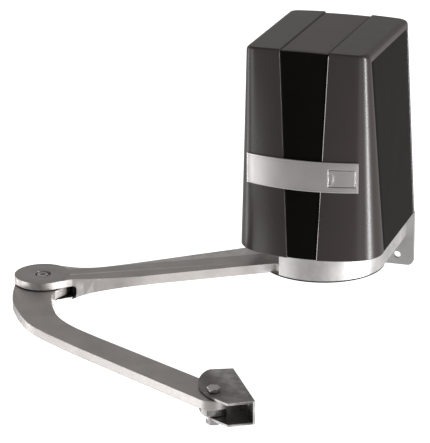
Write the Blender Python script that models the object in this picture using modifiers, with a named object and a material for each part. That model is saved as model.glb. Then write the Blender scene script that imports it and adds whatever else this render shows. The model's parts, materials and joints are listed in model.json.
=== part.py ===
"""Articulated-arm swing-gate opener, built as separate named pieces.

Metres, +Z up. The origin is on the back face of the wall plate, level with
the bottom rim of the cover. The opener's front faces -Y.
"""

import math

import bmesh
import bpy
from mathutils import Matrix, Vector

MM = 0.001
GAP = 0.3 * MM                      # running gap between touching pieces
ROUND_STEPS = 32                    # sides of an ordinary round piece

# --- frame -----------------------------------------------------------------
WALL_TO_SHAFT = 136.8 * MM          # wall face to output shaft axis
SHAFT = Vector((0.0, -WALL_TO_SHAFT, 0.0))

# --- cover (bottom rim, then top rim; both measured from the shaft) ---------
COVER_HEIGHT = 300 * MM
COVER_BACK = 130.5 * MM
COVER_BOTTOM = {"half": 102.7 * MM, "front": 111.7 * MM, "bow": 28.8 * MM, "corner": 46.4 * MM}
COVER_TOP = {"half": 88.0 * MM, "front": 106.3 * MM, "bow": 9.5 * MM, "corner": 19.7 * MM}
COVER_REAR_CORNER = 8 * MM
COVER_CROWN = 3 * MM                # the top falls this much to its sides
COVER_FALL = 7.5 * MM                 # and this much to its back
COVER_EDGE = 7 * MM                 # rounding between top and sides
COVER_WALL = 5.2 * MM
CHANNEL_DEPTH = 2.4 * MM            # front and top channel between the wings
CHANNEL_HALF_BOTTOM = 20.6 * MM
CHANNEL_HALF_TOP = 33.9 * MM
SIDE_RECESS = 1.6 * MM
SIDE_FRONT_BOTTOM = -50 * MM        # front edge of the side panels, from the shaft
SIDE_FRONT_TOP = -80 * MM
SIDE_REAR = 121 * MM
SIDE_TOP = 288 * MM

# --- badge band and lock ----------------------------------------------------
BAND_LEFT, BAND_RIGHT = -83.7 * MM, 76.5 * MM
BAND_LOW, BAND_HIGH = 101 * MM, 145 * MM
BAND_PROUD = 2.5 * MM
FLAP_LEFT, FLAP_RIGHT = 37 * MM, 73 * MM
FLAP_LOW, FLAP_HIGH = 109.5 * MM, 134 * MM
FLAP_HINGE = (73.1 * MM, -102.8 * MM)
LOCK_X, LOCK_Z = 52 * MM, 121.7 * MM
LOCK_RADIUS = 8 * MM
LOCK_SLEEVE_RADIUS = 10.5 * MM
LOCK_DEPTH = 24 * MM
LOCK_SEAT_Y = -101.4 * MM           # outer face of the cover at the lock, from the shaft
LOCK_TILT = math.radians(13.0)      # the band leans back this much at the lock

# --- wall plate and base ----------------------------------------------------
PLATE_THICK = 6 * MM
PLATE_HALF_LOW, PLATE_HALF_MIDDLE, PLATE_HALF_HIGH = 100.7 * MM, 94.3 * MM, 84 * MM
PLATE_LOW, PLATE_HIGH = -84.3 * MM, 252 * MM
PLATE_CORNER = 9 * MM
PLATE_HOLE_RADIUS = 5.3 * MM
PLATE_HOLES = ((76 * MM, -69.6 * MM), (62 * MM, 225 * MM))
SKIRT_RADIUS = 89 * MM
SKIRT_WALL = 4.5 * MM
SKIRT_LOW = -38.8 * MM
SKIRT_OPEN_DEG = -118.4             # front end of the opening that the arm swings in
DECK_LOW, DECK_HIGH = -5 * MM, 6 * MM
BOSS_RADIUS = 30 * MM
BOSS_LOW = -24 * MM
SEAT_RADIUS = 20 * MM
FOOT_FRONT = 107 * MM                # rear foot of the casting, from the shaft
FOOT_HALF = 56 * MM
FOOT_BOLT_RADIUS = 4 * MM
FOOT_BOLT_X, FOOT_BOLT_Z = 46 * MM, -62 * MM

# --- gearbox ----------------------------------------------------------------
SHAFT_RADIUS = 12.5 * MM
HOUSING_LOW = DECK_HIGH + GAP
HOUSING_FLOOR = 5 * MM
HOUSING_HIGH = 62 * MM
HOUSING_WALL = 4.5 * MM
LID_HIGH = 70 * MM
OUTPUT_TEETH, PINION_TEETH = 48, 12
WHEEL_TEETH, MOTOR_TEETH = 56, 14
SLOW_MODULE, FAST_MODULE = 2.0 * MM, 1.0 * MM
IDLER_Y = (OUTPUT_TEETH + PINION_TEETH) * SLOW_MODULE / 2
MOTOR_Y = IDLER_Y - (WHEEL_TEETH + MOTOR_TEETH) * FAST_MODULE / 2
OUTPUT_GEAR_Z = (15 * MM, 31 * MM)
PINION_Z = (14 * MM, 35 * MM)
WHEEL_Z = (35.3 * MM, 45 * MM)
MOTOR_PINION_Z = (34 * MM, 47 * MM)
AXLE_RADIUS = 6 * MM

# --- motor and electrics ----------------------------------------------------
MOTOR_RADIUS = 42 * MM
MOTOR_Z = (LID_HIGH + GAP, 186 * MM)
END_CAP_HIGH = 198 * MM
TRAY_Y = -62 * MM

# --- arms -------------------------------------------------------------------
ARM_TOP, ARM_LOW = -27.8 * MM, -41 * MM
ARM_DEG = -150.5                    # direction of the drive arm at rest
ARM_LENGTH = 403.2 * MM
HUB_RADIUS = 82 * MM
HUB_RIM_RADIUS = 88.6 * MM
HUB_RIM_TOP = -39.2 * MM
DISC_RADIUS = 39.5 * MM
FORK_LOW = -62 * MM
SLOT_TOP, SLOT_LOW = -38 * MM, -54 * MM
SLOT_END = 361 * MM
ELBOW_BOLT_RADIUS = 8 * MM
CURVED_TOP, CURVED_LOW = -39.5 * MM, -52.5 * MM
CURVED_DEG = -41.7                  # direction of the curved arm's chord at rest
CURVED_LENGTH = 470.3 * MM
CURVED_EYE = 38 * MM
GATE_EYE = 24 * MM
GATE_BOLT_RADIUS = 5.9 * MM

# --- gate bracket -----------------------------------------------------------
BRACKET_DEG = -58.2                 # direction of its web at rest
BRACKET_TOP, BRACKET_LOW = -35.5 * MM, -67.5 * MM
BRACKET_SHEET = 3 * MM
WEB_FACE = 43.1 * MM                # pivot to the web's outer face
WEB_REAR, WEB_FRONT = -67.4 * MM, 44.5 * MM

PARTS_NAME = "gate_opener_arm"


# --- scene, collections, materials -------------------------------------------

def clear_scene():
    """Remove every object and the meshes and curves they leave behind."""
    for item in list(bpy.data.objects):
        bpy.data.objects.remove(item, do_unlink=True)
    for store in (bpy.data.meshes, bpy.data.curves, bpy.data.materials):
        for block in list(store):
            store.remove(block)


def new_collection(name):
    """Make a collection in the scene."""
    collection = bpy.data.collections.new(name)
    bpy.context.scene.collection.children.link(collection)
    return collection


def make_material(name, colour, roughness, metallic):
    """A plain Principled material."""
    material = bpy.data.materials.new(name)
    material.use_nodes = True
    shader = material.node_tree.nodes["Principled BSDF"]
    shader.inputs["Base Color"].default_value = (*colour, 1.0)
    shader.inputs["Roughness"].default_value = roughness
    shader.inputs["Metallic"].default_value = metallic
    return material


FINISHES = {
    "bronze_plastic": ((0.075, 0.066, 0.064), 0.38, 0.25),
    "black_gloss": ((0.006, 0.006, 0.005), 0.16, 0.0),
    "brushed_band": ((0.62, 0.62, 0.62), 0.30, 0.95),
    "cast_aluminium": ((0.55, 0.54, 0.53), 0.38, 0.90),
    "arm_aluminium": ((0.33, 0.31, 0.30), 0.42, 0.85),
    "zinc_plate": ((0.46, 0.46, 0.46), 0.40, 0.80),
    "bracket_zinc": ((0.15, 0.14, 0.135), 0.36, 0.85),
    "bright_steel": ((0.62, 0.61, 0.60), 0.22, 1.0),
    "gear_steel": ((0.40, 0.39, 0.38), 0.32, 1.0),
    "bronze_bush": ((0.42, 0.27, 0.10), 0.35, 0.9),
    "seal_rubber": ((0.02, 0.02, 0.02), 0.75, 0.0),
    "motor_black": ((0.03, 0.03, 0.035), 0.45, 0.3),
    "board_green": ((0.02, 0.12, 0.05), 0.40, 0.0),
    "moulded_grey": ((0.16, 0.16, 0.17), 0.50, 0.0),
    "transformer_core": ((0.10, 0.10, 0.11), 0.50, 0.6),
}


# --- outlines ---------------------------------------------------------------

def arc(centre, radius, start_deg, end_deg, steps):
    """Points on an arc, both ends included."""
    points = []
    for step in range(steps + 1):
        angle = math.radians(start_deg + (end_deg - start_deg) * step / steps)
        points.append((centre[0] + radius * math.cos(angle), centre[1] + radius * math.sin(angle)))
    return points


def circle(radius, steps=ROUND_STEPS, centre=(0.0, 0.0)):
    """Points round a full circle, counter-clockwise."""
    return arc(centre, radius, 0, 360 - 360 / steps, steps - 1)


def rounded_box(low, high, radius, steps=5):
    """A rectangle from corner low to corner high with round corners."""
    x0, y0, x1, y1 = low[0] + radius, low[1] + radius, high[0] - radius, high[1] - radius
    corners = (((x1, y0), -90), ((x1, y1), 0), ((x0, y1), 90), ((x0, y0), 180))
    return [point for centre, start in corners for point in arc(centre, radius, start, start + 90, steps)]


def curve_through(points, steps=3):
    """A smooth open curve through all the points (Catmull-Rom)."""
    ends = [points[0], *points, points[-1]]
    smooth = []
    for a, b, c, d in zip(ends, ends[1:], ends[2:], ends[3:]):
        for step in range(steps):
            t = step / steps
            smooth.append(tuple(
                0.5 * (2 * b[k] + (c[k] - a[k]) * t + (2 * a[k] - 5 * b[k] + 4 * c[k] - d[k]) * t ** 2
                       + (3 * b[k] - a[k] - 3 * c[k] + d[k]) * t ** 3)
                for k in (0, 1)))
    smooth.append(points[-1])
    return smooth


def in_mm(points):
    """Scale a list of points given in millimetres."""
    return [(x * MM, y * MM) for x, y in points]


def gear_outline(teeth, module, first_tooth_deg=0.0):
    """Straight-flanked spur teeth with running backlash."""
    pitch = math.tau / teeth
    pitch_radius = module * teeth / 2
    tip, root = pitch_radius + 0.9 * module, pitch_radius - 1.2 * module
    points = []
    for tooth in range(teeth):
        middle = math.radians(first_tooth_deg) + tooth * pitch
        for radius, share in ((root, -0.29), (tip, -0.11), (tip, 0.11), (root, 0.29)):
            angle = middle + share * pitch
            points.append((radius * math.cos(angle), radius * math.sin(angle)))
    return points


# --- mesh makers ------------------------------------------------------------

class Workshop:
    """Where finished pieces, cutters and materials are kept."""

    def __init__(self):
        self.parts = new_collection(PARTS_NAME)
        self.cutters = new_collection("cutters")
        self.finishes = {name: make_material(name, *values) for name, values in FINISHES.items()}

    def place(self, name, mesh, finish, location=(0, 0, 0), turn_deg=0.0):
        """Put a mesh in the scene as a piece, or as a cutter when finish is None."""
        piece = bpy.data.objects.new(name, mesh)
        piece.location = location
        piece.rotation_euler = (0.0, 0.0, math.radians(turn_deg))
        if finish is None:
            self.cutters.objects.link(piece)
            piece.hide_render = True
            piece.display_type = "WIRE"
        else:
            self.parts.objects.link(piece)
            mesh.materials.clear()
            mesh.materials.append(self.finishes[finish])
            mesh.shade_smooth()
            mesh.set_sharp_from_angle(angle=math.radians(32))
        return piece


def mesh_from_bmesh(name, shape):
    """Turn a bmesh into a mesh and free it."""
    bmesh.ops.recalc_face_normals(shape, faces=shape.faces)
    mesh = bpy.data.meshes.new(name)
    shape.to_mesh(mesh)
    shape.free()
    return mesh


def flat_mesh(name, loops, bottom, top):
    """Extrude a flat outline, with any holes as further loops, from bottom to top."""
    outline = bpy.data.curves.new(name + "_outline", "CURVE")
    outline.dimensions = "2D"
    outline.fill_mode = "BOTH"
    outline.extrude = (top - bottom) / 2
    for loop in loops:
        spline = outline.splines.new("POLY")
        spline.points.add(len(loop) - 1)
        for point, (x, y) in zip(spline.points, loop):
            point.co = (x, y, 0.0, 1.0)
        spline.use_cyclic_u = True
    carrier = bpy.data.objects.new(name + "_outline", outline)
    bpy.context.scene.collection.objects.link(carrier)
    evaluated = carrier.evaluated_get(bpy.context.evaluated_depsgraph_get())
    mesh = bpy.data.meshes.new_from_object(evaluated)
    bpy.data.objects.remove(carrier, do_unlink=True)
    bpy.data.curves.remove(outline)
    shape = bmesh.new()
    shape.from_mesh(mesh)
    bpy.data.meshes.remove(mesh)
    bmesh.ops.remove_doubles(shape, verts=shape.verts, dist=1e-6)
    bmesh.ops.translate(shape, verts=shape.verts, vec=(0, 0, (bottom + top) / 2))
    return mesh_from_bmesh(name, shape)


def side_mesh(name, profile, near, far):
    """Extrude a profile drawn in X and Z along Y, from near to far."""
    mesh = flat_mesh(name, [profile], -far, -near)
    mesh.transform(Matrix.Rotation(math.radians(90), 4, "X"))
    return mesh


def round_mesh(name, radius, bottom, top, steps=ROUND_STEPS, top_radius=None):
    """A cylinder or cone frustum from the cone primitive."""
    shape = bmesh.new()
    bmesh.ops.create_cone(shape, cap_ends=True, segments=steps, radius1=radius,
                          radius2=radius if top_radius is None else top_radius, depth=top - bottom)
    bmesh.ops.translate(shape, verts=shape.verts, vec=(0, 0, (bottom + top) / 2))
    return mesh_from_bmesh(name, shape)


def box_mesh(name, low, high):
    """A box between two corners."""
    shape = bmesh.new()
    bmesh.ops.create_cube(shape, size=1.0)
    size = [b - a for a, b in zip(low, high)]
    middle = [(a + b) / 2 for a, b in zip(low, high)]
    bmesh.ops.scale(shape, verts=shape.verts, vec=size)
    bmesh.ops.translate(shape, verts=shape.verts, vec=middle)
    return mesh_from_bmesh(name, shape)


def turned(shop, name, profile, finish, location, steps=ROUND_STEPS):
    """Turn an open profile of (radius, height) points, top to bottom, with a Screw modifier."""
    mesh = bpy.data.meshes.new(name)
    closed = profile[0][0] > 0.0
    count = len(profile)
    edges = [(i, i + 1) for i in range(count - 1)]
    if closed:
        edges.append((count - 1, 0))
    mesh.from_pydata([(radius, 0.0, height) for radius, height in profile], edges, [])
    piece = shop.place(name, mesh, finish, location)
    screw = piece.modifiers.new("turn", "SCREW")
    screw.angle = math.tau
    screw.steps = steps
    screw.render_steps = steps
    screw.use_merge_vertices = True
    screw.merge_threshold = 1e-5
    screw.use_smooth_shade = True
    return piece


def combine(target, tool, operation):
    """Add a Boolean to target."""
    modifier = target.modifiers.new(tool.name, "BOOLEAN")
    modifier.object = tool
    modifier.operation = operation
    modifier.solver = "EXACT"
    return target


def subtract(target, tool):
    """Cut tool out of target."""
    return combine(target, tool, "DIFFERENCE")


def unite(target, tool):
    """Join tool to target."""
    return combine(target, tool, "UNION")


def keep_inside(target, tool):
    """Keep only what target shares with tool."""
    return combine(target, tool, "INTERSECT")


def ring(shop, name, outer, inner, bottom, top, finish, location, steps=ROUND_STEPS):
    """A washer, bush or bearing ring."""
    mesh = flat_mesh(name, [circle(outer, steps), circle(inner, steps)], bottom, top)
    return shop.place(name, mesh, finish, location)


def hex_outline(across_flats):
    """A hexagon by its width across flats."""
    return circle(across_flats / math.sqrt(3), 6)


# --- the cover's own shape --------------------------------------------------

def cover_ring(level, inset):
    """The cover's outline at a level from 0 (rim) to 1 (top), moved in by inset."""
    blend = {key: COVER_BOTTOM[key] + (COVER_TOP[key] - COVER_BOTTOM[key]) * level for key in COVER_TOP}
    half, front, corner = blend["half"] - inset, blend["front"] - inset, max(blend["corner"] - inset, 2 * MM)
    back = COVER_BACK - inset
    bow = blend["bow"]
    bow_radius = (half ** 2 + bow ** 2) / (2 * bow)
    bow_centre = -front + bow_radius
    corner_x = half - corner
    corner_y = bow_centre - math.sqrt((bow_radius - corner) ** 2 - corner_x ** 2)
    lean = math.degrees(math.atan2(corner_x, bow_centre - corner_y))
    rear = COVER_REAR_CORNER
    points = arc((0, bow_centre), bow_radius, -90 - lean, -90 + lean, 12)
    points += arc((corner_x, corner_y), corner, -90 + lean, 0, 6)[1:]
    points += arc((half - rear, back - rear), rear, 0, 90, 3)
    points += arc((-half + rear, back - rear), rear, 90, 180, 3)
    points += arc((-corner_x, corner_y), corner, 180, 270 - lean, 6)[:-1]
    return points


def cover_roof(x, y):
    """Height of the cover's top at a place measured from the shaft."""
    sideways = x / COVER_TOP["half"]
    backwards = (y + COVER_TOP["front"]) / (COVER_TOP["front"] + COVER_BACK)
    return COVER_HEIGHT - COVER_CROWN * sideways ** 2 - COVER_FALL * backwards


def cover_solid(shop, name, inset, finish=None, floor=0.0):
    """The cover's full form as a closed loft, every face moved in by inset."""
    edge = COVER_EDGE
    stations = [(floor / COVER_HEIGHT, 0.0, 0.0), (0.25, 0.0, 0.0), (0.5, 0.0, 0.0), (0.75, 0.0, 0.0)]
    for turn in (0, 30, 60, 90):
        angle = math.radians(turn)
        stations.append((1.0, edge * (1 - math.cos(angle)), edge * (1 - math.sin(angle))))
    shape = bmesh.new()
    loops = []
    for level, tuck, drop in stations:
        loop = []
        for x, y in cover_ring(level, inset + tuck):
            height = floor if level * COVER_HEIGHT <= floor else level * (cover_roof(x, y) - inset) - drop
            loop.append(shape.verts.new((x, y, height)))
        loops.append(loop)
    for below, above in zip(loops, loops[1:]):
        for i, vertex in enumerate(below):
            following = (i + 1) % len(below)
            shape.faces.new((vertex, below[following], above[following], above[i]))
    shape.faces.new(list(reversed(loops[0])))
    crest_y = (COVER_BACK - COVER_TOP["front"]) / 2
    crest = shape.verts.new((0, crest_y, cover_roof(0, crest_y) - inset))
    for i, vertex in enumerate(loops[-1]):
        shape.faces.new((vertex, loops[-1][(i + 1) % len(loops[-1])], crest))
    return shop.place(name, mesh_from_bmesh(name, shape), finish, SHAFT)


def channel_prism(shop, name, shrink, top):
    """The V between the wings, widening upwards, as a prism through the front wall."""
    rise = (CHANNEL_HALF_TOP - CHANNEL_HALF_BOTTOM) / COVER_HEIGHT
    low = -10 * MM
    narrow = CHANNEL_HALF_BOTTOM + rise * low - shrink
    wide = CHANNEL_HALF_BOTTOM + rise * top - shrink
    profile = [(-narrow, low), (narrow, low), (wide, top), (-wide, top)]
    mesh = side_mesh(name, profile, -160 * MM, -60 * MM)
    return shop.place(name, mesh, None, SHAFT)


def side_prism(shop, name, side, shrink):
    """The window of a side panel as a prism through the side wall."""
    low = -10 * MM
    lean = (SIDE_FRONT_TOP - SIDE_FRONT_BOTTOM) / SIDE_TOP
    profile = [(SIDE_FRONT_BOTTOM + lean * low + shrink, low), (SIDE_REAR - shrink, low),
               (SIDE_REAR - shrink, SIDE_TOP - shrink), (SIDE_FRONT_TOP + shrink, SIDE_TOP - shrink)]
    mesh = side_mesh(name, profile, -130 * MM, -60 * MM)
    mesh.transform(Matrix.Rotation(math.radians(90), 4, "Z"))
    if side < 0:
        mesh.transform(Matrix.Scale(-1, 4, Vector((1, 0, 0))))
        mesh.flip_normals()
    return shop.place(name, mesh, None, SHAFT)


def make_cover(shop):
    """The tapered cover: a shell with the front channel and both side recesses."""
    shell = cover_solid(shop, "cover_shell", 0.0, "bronze_plastic")
    subtract(shell, cover_solid(shop, "cut_cover_inside", COVER_WALL, floor=-6 * MM))
    channel = channel_prism(shop, "cut_channel", 0.0, 320 * MM)
    strip = box_mesh("cut_top_strip", (-CHANNEL_HALF_TOP, -100 * MM, 262 * MM),
                     (CHANNEL_HALF_TOP, 140 * MM, 318 * MM))
    unite(channel, shop.place("cut_top_strip", strip, None, SHAFT))
    subtract(channel, cover_solid(shop, "channel_floor", CHANNEL_DEPTH, floor=-20 * MM))
    subtract(shell, channel)
    for side, label in ((1, "right"), (-1, "left")):
        recess = side_prism(shop, f"cut_side_{label}", side, 0.0)
        subtract(recess, cover_solid(shop, f"recess_floor_{label}", SIDE_RECESS, floor=-20 * MM))
        subtract(shell, recess)
    subtract(shell, lock_bore(shop, "cut_lock_in_cover", LOCK_SLEEVE_RADIUS + GAP))
    return shell


def make_front_panel(shop):
    """The black V-shaped insert in the front channel."""
    panel = cover_solid(shop, "front_panel", 0.7 * MM, "black_gloss", floor=0.5 * MM)
    keep_inside(panel, channel_prism(shop, "keep_front_panel", GAP, 294 * MM))
    subtract(panel, cover_solid(shop, "cut_front_panel", 2.1 * MM, floor=-20 * MM))
    return panel


def make_side_panels(shop):
    """The black inset panels on both sides."""
    for side, label in ((1, "right"), (-1, "left")):
        panel = cover_solid(shop, f"side_panel_{label}", 0.4 * MM, "black_gloss", floor=0.5 * MM)
        keep_inside(panel, side_prism(shop, f"keep_side_{label}", side, GAP))
        subtract(panel, cover_solid(shop, f"cut_side_panel_{label}", SIDE_RECESS - GAP, floor=-20 * MM))


def front_prism(shop, name, left, low, right, high):
    """A rectangle on the front face as a prism along Y."""
    return shop.place(name, box_mesh(name, (left, -150 * MM, low), (right, -60 * MM, high)), None, SHAFT)


def lock_bore(shop, name, radius):
    """A cylinder along the lock's axis, which leans with the band."""
    mesh = round_mesh(name, radius, -40 * MM, 40 * MM, 20)
    mesh.transform(Matrix.Rotation(math.radians(90), 4, "X"))
    mesh.transform(Matrix.Rotation(LOCK_TILT, 4, "Z"))
    return shop.place(name, mesh, None, lock_seat())


def lock_seat():
    """World position of the lock's axis at the outer face of the cover."""
    return SHAFT + Vector((LOCK_X, LOCK_SEAT_Y, LOCK_Z))


def make_badge_band(shop):
    """The brushed band bowed round the front, with a window for the lock flap."""
    band = cover_solid(shop, "badge_band", -BAND_PROUD, "brushed_band")
    keep_inside(band, front_prism(shop, "keep_band", BAND_LEFT, BAND_LOW, BAND_RIGHT, BAND_HIGH))
    subtract(band, cover_solid(shop, "cut_band_inside", -GAP, floor=-20 * MM))
    subtract(band, front_prism(shop, "cut_band_window", FLAP_LEFT, FLAP_LOW, FLAP_RIGHT, FLAP_HIGH))
    return band


def make_lock(shop):
    """Flap on its pin, and the key barrel in its sleeve behind it."""
    margin = 0.5 * MM
    hinge = SHAFT + Vector((*FLAP_HINGE, LOCK_Z))
    flap = cover_solid(shop, "lock_flap", -BAND_PROUD - 0.8 * MM, "brushed_band")
    flap.data.transform(Matrix.Translation(SHAFT - hinge))
    flap.location = hinge
    keep_inside(flap, front_prism(shop, "keep_flap", FLAP_LEFT + margin, FLAP_LOW + margin,
                                  FLAP_RIGHT - margin, FLAP_HIGH - margin))
    subtract(flap, cover_solid(shop, "cut_flap_inside", -1.0 * MM, floor=-20 * MM))
    seat = lock_seat()
    sleeve = flat_mesh("lock_sleeve", [circle(LOCK_SLEEVE_RADIUS, 24), circle(LOCK_RADIUS + GAP, 24)],
                       -LOCK_DEPTH, -0.3 * MM)
    barrel = round_mesh("lock_barrel", LOCK_RADIUS, -LOCK_DEPTH - 2 * MM, -0.6 * MM, 24)
    cam = flat_mesh("lock_cam", [in_mm([(-4, -24), (4, -24), (5, 5), (-5, 5)])],
                    -LOCK_DEPTH - 5 * MM, -LOCK_DEPTH - 2 * MM - GAP)
    stand = Matrix.Rotation(LOCK_TILT, 4, "Z") @ Matrix.Rotation(math.radians(90), 4, "X")
    for mesh in (sleeve, barrel, cam):
        mesh.transform(stand)
    shop.place("lock_sleeve", sleeve, "moulded_grey", seat)
    key = shop.place("lock_barrel", barrel, "bright_steel", seat)
    slot = box_mesh("cut_key_slot", (-4.5 * MM, -0.7 * MM, -6 * MM), (4.5 * MM, 0.7 * MM, 2 * MM))
    slot.transform(stand)
    subtract(key, shop.place("cut_key_slot", slot, None, seat))
    shop.place("lock_cam", cam, "gear_steel", seat)


# --- plate, base casting, gearbox -------------------------------------------

def make_wall_plate(shop):
    """Steel plate with four fixing holes, narrower where the cover hides it."""
    corner = PLATE_CORNER
    half = arc((PLATE_HALF_LOW - corner, PLATE_LOW + corner), corner, -90, 0, 5)
    half += [(PLATE_HALF_LOW, -3 * MM), (PLATE_HALF_MIDDLE, 6 * MM)]
    half += arc((PLATE_HALF_HIGH - corner, PLATE_HIGH - corner), corner, 0, 90, 5)
    loops = [half + [(-x, z) for x, z in reversed(half)]]
    for side in (-1, 1):
        loops += [circle(PLATE_HOLE_RADIUS, 24, (side * x, z)) for x, z in PLATE_HOLES]
    for side in (-1, 1):
        loops.append(circle(FOOT_BOLT_RADIUS + GAP, 20, (side * FOOT_BOLT_X, FOOT_BOLT_Z)))
    mesh = flat_mesh("wall_plate", loops, 0.0, PLATE_THICK)
    mesh.transform(Matrix.Rotation(math.radians(90), 4, "X"))
    return shop.place("wall_plate", mesh, "zinc_plate")


def skirt_outline():
    """C-shaped wall of the base: round in front, straight to the rear on the right."""
    foot = WALL_TO_SHAFT - PLATE_THICK - GAP
    inner = SKIRT_RADIUS - SKIRT_WALL
    outer_wall = arc((0, 0), SKIRT_RADIUS, SKIRT_OPEN_DEG, 0, 30) + [(SKIRT_RADIUS, foot)]
    inner_wall = [(inner, foot)] + arc((0, 0), inner, 0, SKIRT_OPEN_DEG, 30)
    return outer_wall + inner_wall


def deck_outline(radius):
    """The deck of the base: round in front, straight at its sides and rear."""
    foot = WALL_TO_SHAFT - PLATE_THICK - GAP
    return arc((0, 0), radius, -180, 0, 40) + [(radius, foot), (-radius, foot)]


def make_base(shop):
    """Base casting: deck, skirt wall, bearing boss and rear foot in one piece."""
    deck = flat_mesh("base_casting", [deck_outline(SKIRT_RADIUS - 0.05 * MM), circle(SEAT_RADIUS)],
                     DECK_LOW, DECK_HIGH)
    base = shop.place("base_casting", deck, "cast_aluminium", SHAFT)
    skirt = flat_mesh("skirt_wall", [skirt_outline()], SKIRT_LOW, DECK_LOW + 0.5 * MM)
    unite(base, shop.place("skirt_wall", skirt, None, SHAFT))
    boss = flat_mesh("bearing_boss", [circle(BOSS_RADIUS), circle(SEAT_RADIUS)],
                     BOSS_LOW, DECK_LOW + 0.5 * MM)
    unite(base, shop.place("bearing_boss", boss, None, SHAFT))
    rear = WALL_TO_SHAFT - PLATE_THICK - GAP
    foot = box_mesh("rear_foot", (-FOOT_HALF, FOOT_FRONT, PLATE_LOW + 6 * MM),
                    (FOOT_HALF, rear - 0.02 * MM, DECK_LOW + 0.6 * MM))
    unite(base, shop.place("rear_foot", foot, None, SHAFT))
    step = box_mesh("cut_cover_step", (-120 * MM, COVER_BACK - COVER_WALL - GAP, -GAP),
                    (120 * MM, 140 * MM, 20 * MM))
    subtract(base, shop.place("cut_cover_step", step, None, SHAFT))
    for x in (-FOOT_BOLT_X, FOOT_BOLT_X):
        tool = round_mesh("cut_foot_bolt", FOOT_BOLT_RADIUS + GAP, 60 * MM, 140 * MM, 20)
        tool.transform(Matrix.Rotation(math.radians(-90), 4, "X"))
        subtract(base, shop.place("cut_foot_bolt", tool, None, SHAFT + Vector((x, 0, FOOT_BOLT_Z))))
    return base


def housing_outline(grow):
    """Egg-shaped wall round the output gear and the idler."""
    radius = 54 * MM + grow
    rear = 36 * MM + grow
    return arc((0, 0), radius, 160, 380, 24) + arc((0, IDLER_Y), rear, 20, 160, 14)


def make_gearbox(shop):
    """Housing with its floor and open top, and the lid that carries the motor."""
    housing = shop.place("gearbox_housing",
                         flat_mesh("gearbox_housing", [housing_outline(HOUSING_WALL)],
                                   HOUSING_LOW, HOUSING_HIGH),
                         "cast_aluminium", SHAFT)
    pocket = flat_mesh("cut_gear_pocket", [housing_outline(0.0)],
                       HOUSING_LOW + HOUSING_FLOOR, HOUSING_HIGH + 5 * MM)
    subtract(housing, shop.place("cut_gear_pocket", pocket, None, SHAFT))
    bore = round_mesh("cut_shaft_bore", SHAFT_RADIUS + 1.5 * MM, 0.0, 20 * MM)
    subtract(housing, shop.place("cut_shaft_bore", bore, None, SHAFT))
    axle = round_mesh("cut_axle_seat", AXLE_RADIUS + GAP, 8 * MM, 20 * MM, 24)
    subtract(housing, shop.place("cut_axle_seat", axle, None, SHAFT + Vector((0, IDLER_Y, 0))))
    lid_loops = [housing_outline(HOUSING_WALL), circle(SEAT_RADIUS - 4 * MM),
                 circle(AXLE_RADIUS + GAP, 24, (0, IDLER_Y))]
    lid = shop.place("gearbox_lid", flat_mesh("gearbox_lid", lid_loops, HOUSING_HIGH + GAP, LID_HIGH),
                     "cast_aluminium", SHAFT)
    relief = round_mesh("cut_motor_shaft", 5.5 * MM, HOUSING_HIGH - 5 * MM, LID_HIGH + 5 * MM, 20)
    subtract(lid, shop.place("cut_motor_shaft", relief, None, SHAFT + Vector((0, MOTOR_Y, 0))))


def make_bearings(shop):
    """Shaft bearings and the seal under the lower one."""
    bore = SHAFT_RADIUS + 0.1 * MM
    ring(shop, "lower_bearing", SEAT_RADIUS - GAP, bore, -14 * MM, DECK_HIGH, "gear_steel", SHAFT)
    ring(shop, "upper_bearing", SEAT_RADIUS - 4.3 * MM, bore, HOUSING_HIGH + GAP, LID_HIGH - 1 * MM,
         "gear_steel", SHAFT)
    ring(shop, "shaft_seal", SEAT_RADIUS - GAP, bore, BOSS_LOW + 1 * MM, -14.3 * MM, "seal_rubber", SHAFT)


def make_gear_train(shop):
    """Output gear, idler with its pinion and axle, and the motor pinion."""
    key_room = 0.15 * MM
    output = flat_mesh("output_gear",
                       [gear_outline(OUTPUT_TEETH, SLOW_MODULE), circle(SHAFT_RADIUS + key_room)],
                       *OUTPUT_GEAR_Z)
    shop.place("output_gear", output, "gear_steel", SHAFT)
    idler = SHAFT + Vector((0, IDLER_Y, 0))
    axle_bore = circle(AXLE_RADIUS + GAP / 2, 24)
    pinion_loops = [gear_outline(PINION_TEETH, SLOW_MODULE, 15.0), axle_bore]
    pinion = flat_mesh("idler_pinion", pinion_loops, *PINION_Z)
    shop.place("idler_pinion", pinion, "gear_steel", idler)
    wheel = flat_mesh("idler_wheel", [gear_outline(WHEEL_TEETH, FAST_MODULE), axle_bore], *WHEEL_Z)
    shop.place("idler_wheel", wheel, "bronze_bush", idler)
    axle = round_mesh("idler_axle", AXLE_RADIUS, HOUSING_LOW + HOUSING_FLOOR - 2 * MM,
                      LID_HIGH - 1 * MM, 24)
    shop.place("idler_axle", axle, "gear_steel", idler)
    motor = SHAFT + Vector((0, MOTOR_Y, 0))
    shaft_bore = circle(3.2 * MM, 16)
    drive_loops = [gear_outline(MOTOR_TEETH, FAST_MODULE), shaft_bore]
    drive = flat_mesh("motor_pinion", drive_loops, *MOTOR_PINION_Z)
    shop.place("motor_pinion", drive, "gear_steel", motor)
    shaft = round_mesh("motor_shaft", 3.0 * MM, MOTOR_PINION_Z[0], LID_HIGH + 12 * MM, 16)
    shop.place("motor_shaft", shaft, "gear_steel", motor)


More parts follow.
